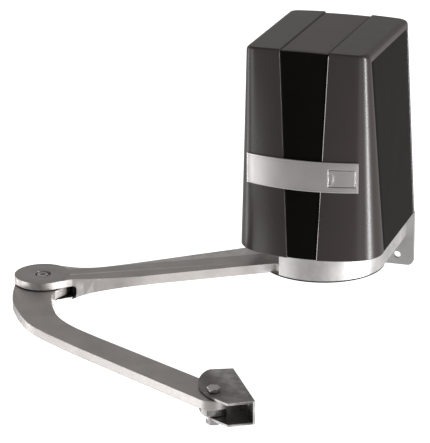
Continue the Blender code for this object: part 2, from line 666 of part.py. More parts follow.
def make_output_shaft(shop):
    """Output shaft, its key in the hub, and the bolt and washer that hold the hub."""
    low = ARM_LOW + 3 * MM
    shaft = shop.place("output_shaft", round_mesh("output_shaft", SHAFT_RADIUS, low, LID_HIGH - 1 * MM),
                       "gear_steel", SHAFT)
    keyway = box_mesh("cut_keyway", (SHAFT_RADIUS - 3 * MM, -3.1 * MM, low - 1 * MM),
                      (SHAFT_RADIUS + 1 * MM, 3.1 * MM, low + 14 * MM))
    subtract(shaft, shop.place("cut_keyway", keyway, None, SHAFT))
    tapped = round_mesh("cut_tapped_end", 5.2 * MM, low - 1 * MM, low + 20 * MM, 20)
    subtract(shaft, shop.place("cut_tapped_end", tapped, None, SHAFT))
    key = box_mesh("shaft_key", (SHAFT_RADIUS - 2.7 * MM, -2.8 * MM, low + 0.5 * MM),
                   (SHAFT_RADIUS + 2.6 * MM, 2.8 * MM, low + 12.5 * MM))
    shop.place("shaft_key", key, "bright_steel", SHAFT)
    washer_low = ARM_LOW - 3.5 * MM
    ring(shop, "hub_washer", 17 * MM, 5.4 * MM, washer_low, ARM_LOW - 0.5 * MM, "bright_steel", SHAFT)
    head = flat_mesh("hub_bolt", [hex_outline(16 * MM)], washer_low - 7 * MM, washer_low - GAP)
    bolt = shop.place("hub_bolt", head, "bright_steel", SHAFT)
    shank = round_mesh("hub_bolt_shank", 5.0 * MM, washer_low - 4 * MM, low + 17 * MM, 20)
    unite(bolt, shop.place("hub_bolt_shank", shank, None, SHAFT))


def make_motor(shop):
    """Motor can, its end cap, and the shaft opening underneath."""
    place = SHAFT + Vector((0, MOTOR_Y, 0))
    can = round_mesh("motor_body", MOTOR_RADIUS, *MOTOR_Z, 40)
    body = shop.place("motor_body", can, "motor_black", place)
    well = round_mesh("cut_motor_well", 5.5 * MM, MOTOR_Z[0] - 2 * MM, MOTOR_Z[0] + 20 * MM, 20)
    subtract(body, shop.place("cut_motor_well", well, None, place))
    radius = MOTOR_RADIUS
    high, low = END_CAP_HIGH, MOTOR_Z[1] + GAP
    profile = [(0.0, high), (radius - 12 * MM, high), (radius - 3 * MM, high - 4 * MM),
               (radius, low), (0.0, low)]
    turned(shop, "motor_end_cap", profile, "zinc_plate", place, 40)


def make_electrics(shop):
    """Control board on its tray, with terminals, capacitor, transformer and gland."""
    tray_low, tray_high = 76 * MM, 236 * MM
    tray = box_mesh("board_tray", (-62 * MM, TRAY_Y, tray_low), (62 * MM, TRAY_Y + 3 * MM, tray_high))
    tray_piece = shop.place("board_tray", tray, "moulded_grey", SHAFT)
    foot = box_mesh("tray_foot", (-30 * MM, TRAY_Y + 2 * MM, tray_low),
                    (30 * MM, TRAY_Y + 12 * MM, tray_low + 4 * MM))
    unite(tray_piece, shop.place("tray_foot", foot, None, SHAFT))
    board = box_mesh("control_board", (-56 * MM, TRAY_Y - 6 * MM, tray_low + 8 * MM),
                     (56 * MM, TRAY_Y - 4.4 * MM, tray_high - 8 * MM))
    shop.place("control_board", board, "board_green", SHAFT)
    for x in (-50 * MM, 50 * MM):
        label = "left" if x < 0 else "right"
        post = box_mesh(f"board_post_{label}", (x - 4 * MM, TRAY_Y - 4.1 * MM, 150 * MM),
                        (x + 4 * MM, TRAY_Y - GAP, 158 * MM))
        shop.place(f"board_post_{label}", post, "moulded_grey", SHAFT)
    terminals = box_mesh("terminal_block", (-48 * MM, TRAY_Y - 18 * MM, 92 * MM),
                         (28 * MM, TRAY_Y - 6.3 * MM, 104 * MM))
    block = shop.place("terminal_block", terminals, "board_green", SHAFT)
    for index in range(6):
        x = (-40 + 12 * index) * MM
        well = round_mesh(f"cut_terminal_{index}", 2.5 * MM, 98 * MM, 110 * MM, 12)
        spot = SHAFT + Vector((x, TRAY_Y - 13 * MM, 0))
        subtract(block, shop.place(f"cut_terminal_{index}", well, None, spot))
    can = round_mesh("run_capacitor", 15 * MM, 112 * MM, 182 * MM, 24)
    shop.place("run_capacitor", can, "moulded_grey", SHAFT + Vector((-30 * MM, TRAY_Y - 22 * MM, 0)))
    transformer = box_mesh("transformer", (-40 * MM, MOTOR_Y - 32 * MM, END_CAP_HIGH + GAP),
                           (40 * MM, MOTOR_Y + 32 * MM, 256 * MM))
    core = shop.place("transformer", transformer, "transformer_core", SHAFT)
    winding = box_mesh("winding", (-28 * MM, MOTOR_Y - 40 * MM, END_CAP_HIGH + 10 * MM),
                       (28 * MM, MOTOR_Y + 40 * MM, 246 * MM))
    unite(core, shop.place("winding", winding, None, SHAFT))
    gland = SHAFT + Vector((66 * MM, 40 * MM, DECK_LOW))
    profile = in_mm([(8, 24), (9.5, 22), (9.5, 11.3), (4.5, 11.3), (4.5, 24)])
    turned(shop, "cable_gland", profile, "moulded_grey", gland, 24)


def make_plate_fasteners(shop):
    """Two bolts through the foot of the casting, and their nuts, hold the plate."""
    for x, label in ((-FOOT_BOLT_X, "left"), (FOOT_BOLT_X, "right")):
        place = SHAFT + Vector((x, 0, FOOT_BOLT_Z))
        head = flat_mesh(f"foot_bolt_{label}", [hex_outline(13 * MM)], 6 * MM, 11.5 * MM)
        bolt = shop.place(f"foot_bolt_{label}", head, "bright_steel", place)
        shank = round_mesh(f"foot_shank_{label}", FOOT_BOLT_RADIUS, -22 * MM, 7 * MM, 20)
        shank_piece = shop.place(f"foot_shank_{label}", shank, None, place)
        aim = Matrix.Translation((0, FOOT_FRONT + 5.7 * MM, 0)) @ Matrix.Rotation(math.radians(90), 4, "X")
        bolt.data.transform(aim)
        shank_piece.data.transform(aim)
        unite(bolt, shank_piece)


# --- arms -------------------------------------------------------------------

def drive_arm_outline():
    """Plan of the drive arm, along +X from the shaft to the elbow."""
    elbow = (ARM_LENGTH, 0.0)
    back_edge = curve_through(in_mm([(64, -51), (115, -40), (173, -30.5), (248, -17.6), (292, -10.9),
                                     (325, -8.2), (348, -12.2), (362, -19.0)]))
    front_edge = curve_through(in_mm([(381, 35.2), (367, 31.4), (350, 33.6), (328, 36.8), (300, 39.6),
                                      (272, 40.6), (236, 38.4), (157, 34.0), (110, 31.2)]))
    hub = arc((0, 0), HUB_RADIUS, 22, 320, 44)
    disc = arc(elbow, DISC_RADIUS, -140, 112, 30)
    return hub + back_edge[1:] + disc + front_edge[1:]


def make_drive_arm(shop):
    """Drive arm: round hub, tapering bar, and a fork that swells below the elbow."""
    plan = flat_mesh("drive_arm", [drive_arm_outline()], FORK_LOW, ARM_TOP)
    arm = shop.place("drive_arm", plan, "arm_aluminium", SHAFT, ARM_DEG)
    belly = curve_through(in_mm([(255, -41), (280, -41.6), (305, -43.6), (330, -47), (350, -51.4),
                                 (368, -57.6), (382, -61), (396, -62.2)]))
    side = in_mm([(-100, 0), (-100, -41)]) + belly + in_mm([(460, -62.2), (460, 0)])
    keep_inside(arm, shop.place("keep_arm_side", side_mesh("keep_arm_side", side, -120 * MM, 120 * MM),
                                None, SHAFT, ARM_DEG))
    slot_height = SLOT_TOP - SLOT_LOW
    slot = rounded_box((SLOT_END, SLOT_LOW), (480 * MM, SLOT_TOP), slot_height * 0.3, 4)
    subtract(arm, shop.place("cut_fork_slot", side_mesh("cut_fork_slot", slot, -70 * MM, 70 * MM),
                             None, SHAFT, ARM_DEG))
    rim = round_mesh("hub_rim", HUB_RIM_RADIUS, ARM_LOW - 0.2 * MM, HUB_RIM_TOP, 64)
    unite(arm, shop.place("hub_rim", rim, None, SHAFT, ARM_DEG))
    collar = round_mesh("hub_collar", 24 * MM, ARM_TOP - 1 * MM, BOSS_LOW - GAP)
    unite(arm, shop.place("hub_collar", collar, None, SHAFT, ARM_DEG))
    bore = round_mesh("cut_hub_bore", SHAFT_RADIUS + 0.15 * MM, ARM_LOW - 5 * MM, BOSS_LOW + 5 * MM)
    subtract(arm, shop.place("cut_hub_bore", bore, None, SHAFT, ARM_DEG))
    key_low = ARM_LOW - 5 * MM
    keyway = box_mesh("cut_hub_keyway", (5 * MM, -3.1 * MM, key_low),
                      (SHAFT_RADIUS + 2.9 * MM, 3.1 * MM, BOSS_LOW + 5 * MM))
    subtract(arm, shop.place("cut_hub_keyway", keyway, None, SHAFT))
    elbow = elbow_place()
    hole = round_mesh("cut_elbow_hole", ELBOW_BOLT_RADIUS + GAP, -80 * MM, 0.0, 24)
    subtract(arm, shop.place("cut_elbow_hole", hole, None, elbow))
    counterbore = round_mesh("cut_elbow_counterbore", 11.5 * MM, ARM_TOP - 5 * MM, 0.0, 28)
    subtract(arm, shop.place("cut_elbow_counterbore", counterbore, None, elbow))
    return arm


def elbow_place():
    """World position of the elbow axis."""
    angle = math.radians(ARM_DEG)
    return SHAFT + Vector((ARM_LENGTH * math.cos(angle), ARM_LENGTH * math.sin(angle), 0))


def gate_place():
    """World position of the gate pivot axis."""
    angle = math.radians(CURVED_DEG)
    return elbow_place() + Vector((CURVED_LENGTH * math.cos(angle), CURVED_LENGTH * math.sin(angle), 0))


def curved_arm_outline():
    """Plan of the curved arm, with its chord along +X from elbow to gate pivot."""
    gate = (CURVED_LENGTH, 0.0)
    outer = curve_through(in_mm([(-24, -29.5), (7, -50), (31, -63.4), (52, -72.6), (84, -82), (118, -88.6),
                                 (140, -89.6), (161, -87.8), (184, -84.4), (247, -72.8)]))
    inner = curve_through(in_mm([(222, -33.4), (200, -38.0), (176, -42.4), (150, -44.4), (126, -42.6),
                                 (104, -36.6), (82, -28.4), (60, -17.5), (42, -3.0)]))
    gate_end = arc(gate, GATE_EYE, -77.5, 102.5, 18)
    eye = arc((0, 0), CURVED_EYE, 22, 228, 26)
    return eye + outer[1:] + gate_end + inner


def make_curved_arm(shop):
    """Curved arm with a bushed eye at both ends."""
    elbow_bore = circle(12.6 * MM, 28)
    gate_bore = circle(9.1 * MM, 24, (CURVED_LENGTH, 0.0))
    mesh = flat_mesh("curved_arm", [curved_arm_outline(), elbow_bore, gate_bore], CURVED_LOW, CURVED_TOP)
    return shop.place("curved_arm", mesh, "arm_aluminium", elbow_place(), CURVED_DEG)


def make_elbow_parts(shop):
    """Elbow bolt and nut, the bush in the eye, and a washer above and below it."""
    elbow = elbow_place()
    radius = ELBOW_BOLT_RADIUS
    head_top, head_low = ARM_TOP - 0.6 * MM, ARM_TOP - 5 * MM + GAP
    foot = FORK_LOW - 9 * MM
    profile = [(0.0, head_top - 2.6 * MM), (3.6 * MM, head_top - 2.6 * MM), (3.6 * MM, head_top),
               (7.4 * MM, head_top), (8.6 * MM, head_top - 1.4 * MM), (8.6 * MM, head_low),
               (radius, head_low), (radius, foot), (0.0, foot)]
    turned(shop, "elbow_bolt", profile, "bright_steel", elbow, 24)
    nut_low, nut_top = foot + 0.5 * MM, FORK_LOW - GAP
    nut = flat_mesh("elbow_nut", [hex_outline(24 * MM), circle(radius + GAP, 24)], nut_low, nut_top)
    shop.place("elbow_nut", nut, "bright_steel", elbow)
    ring(shop, "elbow_bush", 12.3 * MM, radius + 0.15 * MM, CURVED_LOW, CURVED_TOP,
         "bronze_bush", elbow, 28)
    ring(shop, "elbow_washer_upper", 20 * MM, radius + GAP, CURVED_TOP + GAP, SLOT_TOP - GAP,
         "seal_rubber", elbow, 28)
    ring(shop, "elbow_washer_lower", 20 * MM, radius + GAP, SLOT_LOW + GAP, CURVED_LOW - GAP,
         "seal_rubber", elbow, 28)


# --- gate bracket -----------------------------------------------------------

def bracket_plate_outline():
    """Plan of the bracket's two plates, web along +X, pivot at the origin."""
    nose = curve_through(in_mm([(-72, 11), (-61, 0.6), (-43, -9.0), (-21, -14.2), (-2, -12.6),
                                (19, -6.6), (44, 7.0)]))
    rear = [(WEB_REAR, WEB_FACE), (WEB_REAR - 4.5 * MM, WEB_FACE - 30 * MM)]
    return rear + nose[1:] + [(WEB_FRONT, WEB_FACE)]


def make_bracket(shop):
    """Bent channel: two plates and the web that bolts to the gate."""
    gate = gate_place()
    hole = circle(GATE_BOLT_RADIUS + GAP, 24)
    plate_loops = [bracket_plate_outline(), hole]
    top = flat_mesh("gate_bracket", plate_loops, BRACKET_TOP - BRACKET_SHEET, BRACKET_TOP)
    bracket = shop.place("gate_bracket", top, "bracket_zinc", gate, BRACKET_DEG)
    low = flat_mesh("bracket_low_plate", plate_loops, BRACKET_LOW, BRACKET_LOW + BRACKET_SHEET)
    unite(bracket, shop.place("bracket_low_plate", low, None, gate, BRACKET_DEG))
    web = box_mesh("bracket_web", (WEB_REAR + 0.02 * MM, WEB_FACE - BRACKET_SHEET, BRACKET_LOW + 0.5 * MM),
                   (WEB_FRONT - 0.02 * MM, WEB_FACE - 0.02 * MM, BRACKET_TOP - 0.5 * MM))
    unite(bracket, shop.place("bracket_web", web, None, gate, BRACKET_DEG))
    for x in (-45 * MM, 22 * MM):
        tool = round_mesh("cut_web_hole", 4.5 * MM, -60 * MM, -30 * MM, 20)
        tool.transform(Matrix.Rotation(math.radians(90), 4, "X"))
        tool.transform(Matrix.Translation((x, 0, (BRACKET_TOP + BRACKET_LOW) / 2)))
        subtract(bracket, shop.place("cut_web_hole", tool, None, gate, BRACKET_DEG))
    return bracket


def make_gate_pivot(shop):
    """Bolt, washer and nut through the bracket, bush in the eye, and the spacer below it."""
    gate = gate_place()
    head_low = BRACKET_TOP + GAP
    head = flat_mesh("gate_bolt", [hex_outline(16 * MM)], head_low, head_low + 6 * MM)
    bolt = shop.place("gate_bolt", head, "bright_steel", gate, 12.0)
    foot = BRACKET_LOW - 13 * MM
    shank = round_mesh("gate_bolt_shank", GATE_BOLT_RADIUS, foot, head_low + 1 * MM, 24)
    unite(bolt, shop.place("gate_bolt_shank", shank, None, gate))
    bore = GATE_BOLT_RADIUS + GAP
    washer_low = BRACKET_LOW - 2.3 * MM
    ring(shop, "gate_washer", 12 * MM, bore, washer_low, BRACKET_LOW - GAP, "bright_steel", gate, 28)
    nut_loops = [hex_outline(18 * MM), circle(bore, 24)]
    nut = flat_mesh("gate_nut", nut_loops, washer_low - 9 * MM, washer_low - GAP)
    shop.place("gate_nut", nut, "bright_steel", gate, 20.0)
    ring(shop, "gate_bush", 8.8 * MM, GATE_BOLT_RADIUS + 0.15 * MM, CURVED_LOW, CURVED_TOP,
         "bronze_bush", gate, 24)
    spacer_low = BRACKET_LOW + BRACKET_SHEET + GAP
    ring(shop, "gate_spacer", 17 * MM, bore, spacer_low, CURVED_LOW - GAP, "bracket_zinc", gate, 28)


def main():
    """Build every piece."""
    clear_scene()
    shop = Workshop()
    make_wall_plate(shop)
    make_base(shop)
    make_gearbox(shop)
    make_bearings(shop)
    make_gear_train(shop)
    make_output_shaft(shop)
    make_motor(shop)
    make_electrics(shop)
    make_plate_fasteners(shop)
    make_cover(shop)
    make_front_panel(shop)
    make_side_panels(shop)
    make_badge_band(shop)
    make_lock(shop)
    make_drive_arm(shop)
    make_curved_arm(shop)
    make_elbow_parts(shop)
    make_bracket(shop)
    make_gate_pivot(shop)


main()
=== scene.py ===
"""Looks of an articulated-arm swing-gate opener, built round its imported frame.

Everything is in metres in the frame's own axes: +Z up, -Y the opener's front.
Heights on the cover are measured from its bottom rim, which is at height 0.
"""

import json
import logging
import math
from dataclasses import dataclass, field
from enum import Enum
from typing import Callable, Sequence, Union

import bmesh
import bpy
from mathutils import Matrix, Vector


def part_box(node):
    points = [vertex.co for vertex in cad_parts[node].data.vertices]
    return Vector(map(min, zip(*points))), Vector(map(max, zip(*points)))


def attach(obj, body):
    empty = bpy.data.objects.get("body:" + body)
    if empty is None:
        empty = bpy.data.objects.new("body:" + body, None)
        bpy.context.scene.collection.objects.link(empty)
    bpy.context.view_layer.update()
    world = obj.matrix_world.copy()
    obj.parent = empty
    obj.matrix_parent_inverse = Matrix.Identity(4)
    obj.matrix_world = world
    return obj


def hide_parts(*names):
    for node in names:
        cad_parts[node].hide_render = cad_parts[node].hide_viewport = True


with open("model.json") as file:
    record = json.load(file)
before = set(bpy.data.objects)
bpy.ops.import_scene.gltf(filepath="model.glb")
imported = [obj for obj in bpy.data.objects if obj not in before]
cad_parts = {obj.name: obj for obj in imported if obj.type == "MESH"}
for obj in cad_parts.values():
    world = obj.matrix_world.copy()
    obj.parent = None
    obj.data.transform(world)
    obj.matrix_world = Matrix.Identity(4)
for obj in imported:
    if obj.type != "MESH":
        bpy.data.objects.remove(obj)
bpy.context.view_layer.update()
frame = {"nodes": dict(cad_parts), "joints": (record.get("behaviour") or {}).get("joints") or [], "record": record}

MM = 0.001
FACET_DEG = 12.5                    # rounded castings stay smooth below this angle
SMOOTH_DEG = 34.0                   # other pieces stay smooth below this angle
# Edges above this pointiness get both wear and a painted highlight.
FLAT_POINTINESS = 0.52              # pointiness above which an edge starts to show wear
STREAK_FINENESS = 1500.0
WEAR_AND_HIGHLIGHT_REACH = 0.05
COAT_ROUGHNESS = 0.12
LOG = logging.getLogger("gate_opener")
Point = tuple[float, float, float]
Colour = tuple[float, float, float]


def new_node(tree: bpy.types.NodeTree, kind: str, **values) -> bpy.types.Node:
    """Add a node and set the inputs that are given by name, with _ for a space."""
    node = tree.nodes.new(kind)
    for name, value in values.items():
        node.inputs[name.replace("_", " ")].default_value = value
    return node


def new_math(tree: bpy.types.NodeTree, operation: str) -> bpy.types.Node:
    """Add a Math node with its operation set."""
    node = tree.nodes.new("ShaderNodeMath")
    node.operation = operation
    return node


# --- shared shader groups ------------------------------------------------------

class Brushing(Enum):
    """How a finish is brushed: the stretch of its streaks along X, Y and Z."""

    NONE = (1.0, 1.0, 1.0)
    ALONG_X = (0.02, 1.0, 1.0)
    ALONG_Z = (1.0, 1.0, 0.02)
    ALL_ROUND = (1.0, 1.0, 0.6)


class Groups:
    """Node groups that several finishes share, each built once."""

    def __init__(self) -> None:
        """Build the grain, streak and wear-and-highlight groups."""
        self.grain = self._grain()
        self.streaks = self._streaks()
        self.wear_and_highlight = self._wear_and_highlight()

    @staticmethod
    def _start(name: str, inputs: Sequence[tuple[str, str, float]], outputs: Sequence[str]):
        """Open a new shader group.

        Args:
            name: The group's name.
            inputs: Name, socket type and default of each input.
            outputs: Names of the float outputs.

        Returns:
            The group, its input node and its output node.
        """
        group = bpy.data.node_groups.new(name, "ShaderNodeTree")
        for label, kind, default in inputs:
            socket = group.interface.new_socket(label, in_out="INPUT", socket_type=kind)
            if kind == "NodeSocketFloat":
                socket.default_value = default
        for label in outputs:
            group.interface.new_socket(label, in_out="OUTPUT", socket_type="NodeSocketFloat")
        return group, group.nodes.new("NodeGroupInput"), group.nodes.new("NodeGroupOutput")

    def _grain(self):
        """Cast or moulded grain: a fine height and a slow change of tone.

        Returns:
            The node group.
        """
        group, source, sink = self._start(
            "cast_grain", [("Place", "NodeSocketVector", 0.0), ("Fineness", "NodeSocketFloat", 900.0)],
            ["Height", "Tone"])
        fine = new_node(group, "ShaderNodeTexNoise", Detail=4.0, Roughness=0.6)
        slow = new_node(group, "ShaderNodeTexNoise", Scale=28.0, Detail=5.0)
        spread = new_node(group, "ShaderNodeMapRange", From_Min=0.22, From_Max=0.78)
        link = group.links.new
        link(source.outputs["Place"], fine.inputs["Vector"])
        link(source.outputs["Fineness"], fine.inputs["Scale"])
        link(source.outputs["Place"], slow.inputs["Vector"])
        link(slow.outputs["Fac"], spread.inputs["Value"])
        link(fine.outputs["Fac"], sink.inputs["Height"])
        link(spread.outputs["Result"], sink.inputs["Tone"])
        return group

    def _streaks(self):
        """Brushed streaks, drawn out by the stretch of the place they are given.

        Returns:
            The node group.
        """
        group, source, sink = self._start(
            "brushed_streaks", [("Place", "NodeSocketVector", 0.0), ("Fineness", "NodeSocketFloat", 1600.0)],
            ["Streak"])
        lines = new_node(group, "ShaderNodeTexNoise", Detail=3.0, Roughness=0.7)
        link = group.links.new
        link(source.outputs["Place"], lines.inputs["Vector"])
        link(source.outputs["Fineness"], lines.inputs["Scale"])
        link(lines.outputs["Fac"], sink.inputs["Streak"])
        return group

    def _wear_and_highlight(self):
        """A mask of the edges painted bright: partly wear from handling, partly a painted highlight.

        Returns:
            The node group.
        """
        group, source, sink = self._start(
            "edge_wear_and_highlight", [("Place", "NodeSocketVector", 0.0), ("Reach", "NodeSocketFloat", 0.06)], ["Mask"])
        geometry = group.nodes.new("ShaderNodeNewGeometry")
        limit = new_math(group, "ADD")
        limit.inputs[1].default_value = FLAT_POINTINESS
        remap = new_node(group, "ShaderNodeMapRange", From_Min=FLAT_POINTINESS)
        patches = new_node(group, "ShaderNodeTexNoise", Scale=90.0)
        both = new_math(group, "MULTIPLY")
        link = group.links.new
        link(source.outputs["Reach"], limit.inputs[0])
        link(geometry.outputs["Pointiness"], remap.inputs["Value"])
        link(limit.outputs[0], remap.inputs["From Max"])
        link(source.outputs["Place"], patches.inputs["Vector"])
        link(remap.outputs["Result"], both.inputs[0])
        link(patches.outputs["Fac"], both.inputs[1])
        link(both.outputs[0], sink.inputs["Mask"])
        return group


# --- finishes --------------------------------------------------------------------

@dataclass(frozen=True)
class Finish:
    """One surface finish, as a maker would order it."""

    name: str
    colour: Colour
    shade: Colour
    roughness: float
    metallic: float = 0.0
    fineness: float = 900.0
    relief: float = 0.00004
    brushing: Brushing = Brushing.NONE
    streak_depth: float = 0.0
    rough_spread: float = 0.08
    specular: float = 0.5
    coat: float = 0.0
    wear_and_highlight: float = 0.0
    wear_and_highlight_colour: Colour = (0.8, 0.79, 0.78)

    def build(self, groups: Groups) -> bpy.types.Material:
        """Make the procedural material.

        Args:
            groups: The shared node groups.

        Returns:
            The finished material.
        """
        material = bpy.data.materials.new(self.name)
        material.use_nodes = True
        tree = material.node_tree
        link = tree.links.new
        shader = tree.nodes["Principled BSDF"]
        shader.inputs["Metallic"].default_value = self.metallic
        shader.inputs["Specular IOR Level"].default_value = self.specular
        shader.inputs["Coat Weight"].default_value = self.coat
        shader.inputs["Coat Roughness"].default_value = COAT_ROUGHNESS
        place = tree.nodes.new("ShaderNodeTexCoord").outputs["Object"]
        grain = self._group(tree, groups.grain, place, "Fineness", self.fineness)
        colour = self._mix(tree, grain.outputs["Tone"], self.shade, self.colour)
        height = grain.outputs["Height"]
        if self.streak_depth > 0.0:
            stretch = new_node(tree, "ShaderNodeMapping", Scale=self.brushing.value)
            link(place, stretch.inputs["Vector"])
            streaks = self._group(tree, groups.streaks, stretch.outputs["Vector"], "Fineness",
                                  STREAK_FINENESS)
            blend = new_math(tree, "MULTIPLY_ADD")
            blend.inputs[1].default_value = self.streak_depth
            link(streaks.outputs["Streak"], blend.inputs[0])
            link(height, blend.inputs[2])
            height = blend.outputs[0]
        # Sharp edges are painted lighter: partly wear, partly a painted highlight.
        if self.wear_and_highlight > 0.0:
            wear_and_highlight = self._group(tree, groups.wear_and_highlight, place, "Reach", WEAR_AND_HIGHLIGHT_REACH)
            amount = new_math(tree, "MULTIPLY")
            amount.use_clamp = True
            amount.inputs[1].default_value = self.wear_and_highlight
            link(wear_and_highlight.outputs["Mask"], amount.inputs[0])
            colour = self._mix(tree, amount.outputs[0], colour, self.wear_and_highlight_colour)
        link(colour, shader.inputs["Base Color"])
        rough = new_node(tree, "ShaderNodeMapRange", To_Min=max(self.roughness - self.rough_spread, 0.02),
                         To_Max=self.roughness + self.rough_spread)
        link(grain.outputs["Tone"], rough.inputs["Value"])
        link(rough.outputs["Result"], shader.inputs["Roughness"])
        bump = new_node(tree, "ShaderNodeBump", Distance=self.relief)
        link(height, bump.inputs["Height"])
        link(bump.outputs["Normal"], shader.inputs["Normal"])
        return material

    @staticmethod
    def _group(tree, group, place, size_name: str, size: float):
        """Place a shared group in a material.

        Args:
            tree: The material's node tree.
            group: The shared group.
            place: The socket that gives it its place.
            size_name: The group's size input.
            size: The value for that input.

        Returns:
            The group's node.
        """
        node = tree.nodes.new("ShaderNodeGroup")
        node.node_tree = group
        node.inputs[size_name].default_value = size
        tree.links.new(place, node.inputs["Place"])
        return node

    @staticmethod
    def _mix(tree, factor, first: Union[Colour, bpy.types.NodeSocket], second: Colour):
        """Mix two colours by a socket.

        Args:
            tree: The material's node tree.
            factor: Socket that holds the share of the second colour.
            first: The first colour, or the socket that gives it.
            second: The second colour.

        Returns:
            The mixed colour's socket.
        """
        mix = tree.nodes.new("ShaderNodeMix")
        mix.data_type = "RGBA"
        tree.links.new(factor, mix.inputs["Factor"])
        plain, other = mix.inputs[6], mix.inputs[7]      # the two colour sockets
        if isinstance(first, bpy.types.NodeSocket):
            tree.links.new(first, plain)
        else:
            plain.default_value = (*first, 1.0)
        other.default_value = (*second, 1.0)
        return mix.outputs[2]


FINISHES = (
    Finish("bronze_plastic", (0.033, 0.0255, 0.0245), (0.0305, 0.0238, 0.0228), 0.28,
           fineness=1500.0, relief=0.000012, specular=0.45, rough_spread=0.01),
    Finish("bronze_strip", (0.058, 0.047, 0.045), (0.049, 0.040, 0.038), 0.34,
           fineness=2200.0, relief=0.000008, specular=0.5, rough_spread=0.02),
    Finish("black_gloss", (0.0066, 0.0063, 0.0056), (0.0052, 0.0050, 0.0046), 0.32,
           fineness=500.0, relief=0.000005, specular=0.015, rough_spread=0.03),
    # The band's bright wear colour paints highlights along its edges.
    Finish("brushed_band", (0.56, 0.545, 0.54), (0.50, 0.485, 0.48), 0.34, 1.0,
           fineness=1200.0, relief=0.00003, brushing=Brushing.ALONG_X, streak_depth=1.0,
           wear_and_highlight=0.7, wear_and_highlight_colour=(0.9, 0.9, 0.9)),
    Finish("cast_aluminium", (0.58, 0.57, 0.56), (0.44, 0.43, 0.42), 0.46, 0.85,
           fineness=1300.0, relief=0.00006, wear_and_highlight=0.6),
    Finish("arm_aluminium", (0.60, 0.565, 0.55), (0.42, 0.395, 0.38), 0.38, 0.92,
           fineness=520.0, relief=0.00012, wear_and_highlight=1.4),
    Finish("machined_face", (0.50, 0.475, 0.465), (0.42, 0.40, 0.39), 0.30, 1.0,
           relief=0.00003, brushing=Brushing.ALONG_X, streak_depth=0.8),
    Finish("zinc_plate", (0.52, 0.515, 0.51), (0.45, 0.445, 0.44), 0.42, 0.75,
           fineness=700.0, relief=0.00003),
    Finish("bracket_zinc", (0.19, 0.178, 0.174), (0.075, 0.071, 0.069), 0.28, 0.9,
           fineness=420.0, relief=0.00006, wear_and_highlight=1.2),
    # bright_steel also paints the highlight bead on the right wing's edge.
    Finish("bright_steel", (0.66, 0.65, 0.64), (0.46, 0.45, 0.44), 0.16, 1.0,
           relief=0.00002, wear_and_highlight=0.4),
    Finish("gear_steel", (0.42, 0.41, 0.40), (0.34, 0.33, 0.32), 0.30, 1.0,
           brushing=Brushing.ALL_ROUND, streak_depth=0.6, relief=0.00002, wear_and_highlight=0.4),
    Finish("bronze_bush", (0.45, 0.28, 0.11), (0.34, 0.21, 0.08), 0.34, 0.95),
    # seal_rubber also serves as painted shade on the drive arm's rim and slot, and on the slot's shade pad.
    Finish("seal_rubber", (0.020, 0.020, 0.020), (0.012, 0.012, 0.012), 0.72, relief=0.00005),
    Finish("motor_black", (0.030, 0.030, 0.034), (0.020, 0.020, 0.024), 0.46, 0.3,
           fineness=1800.0, relief=0.00005, wear_and_highlight=0.5),
    Finish("board_green", (0.020, 0.110, 0.048), (0.014, 0.085, 0.036), 0.36, coat=0.3),
    Finish("moulded_grey", (0.17, 0.17, 0.175), (0.14, 0.14, 0.145), 0.50,
           fineness=1800.0, relief=0.00004),
    Finish("transformer_core", (0.11, 0.11, 0.12), (0.08, 0.08, 0.085), 0.48, 0.6,
           brushing=Brushing.ALONG_Z, streak_depth=0.8, relief=0.00008),
)


class Paint:
    """Keeps each finish's material and puts it on pieces."""

    def __init__(self) -> None:
        """Build every finish once."""
        groups = Groups()
        self.materials = {finish.name: finish.build(groups) for finish in FINISHES}

    def on(self, piece: bpy.types.Object, finish: str) -> None:
        """Dress a whole piece in one finish."""
        piece.data.materials.clear()
        piece.data.materials.append(self.materials[finish])

    def fit(self, piece: bpy.types.Object, finish: str, body: str, slot: str = "",
            nodes: Sequence[str] = ()) -> None:
        """Dress a finished piece and fasten it; the slot argument is not used."""
        self.on(piece, finish)
        settle(piece, body, nodes)

    def dress_frame(self) -> None:
        """Give every node of the frame its slot's finish."""
        for part in frame["record"]["subparts"]:
            self.on(frame["nodes"][part["node"]], part["material_slot"])


# --- mesh helpers ------------------------------------------------------------------

def joint_place(name: str) -> Vector:
    """Where a joint's axis stands, from the frame."""
    joint = next(joint for joint in frame["joints"] if joint["name"] == name)
    return Vector(joint["pos_m"])


def body_of(node: str) -> str:
    """The body that a node belongs to."""
    bodies = frame["record"]["behaviour"]["bodies"]
    return next(body for body, nodes in bodies.items() if node in nodes)


def piece_from(name: str, vertices: Sequence[Point], faces: Sequence[Sequence[int]],
               smooth_deg: float = SMOOTH_DEG) -> bpy.types.Object:
    """Make an object at the origin from a list of vertices and faces.

    Args:
        name: The piece's name.
        vertices: Places of the vertices.
        faces: Vertex numbers of each face.
        smooth_deg: Edges sharper than this stay sharp.

    Returns:
        The new object.
    """
    mesh = bpy.data.meshes.new(name)
    mesh.from_pydata([tuple(vertex) for vertex in vertices], [], [tuple(face) for face in faces])
    shape = bmesh.new()
    shape.from_mesh(mesh)
    bmesh.ops.recalc_face_normals(shape, faces=shape.faces)
    shape.to_mesh(mesh)
    shape.free()
    return shown(name, mesh, smooth_deg)


def shown(name: str, mesh: bpy.types.Mesh, smooth_deg: float = SMOOTH_DEG) -> bpy.types.Object:
    """Put a mesh in the scene, shaded smooth up to an angle."""
    mesh.shade_smooth()
    mesh.set_sharp_from_angle(angle=math.radians(smooth_deg))
    piece = bpy.data.objects.new(name, mesh)
    bpy.context.scene.collection.objects.link(piece)
    return piece


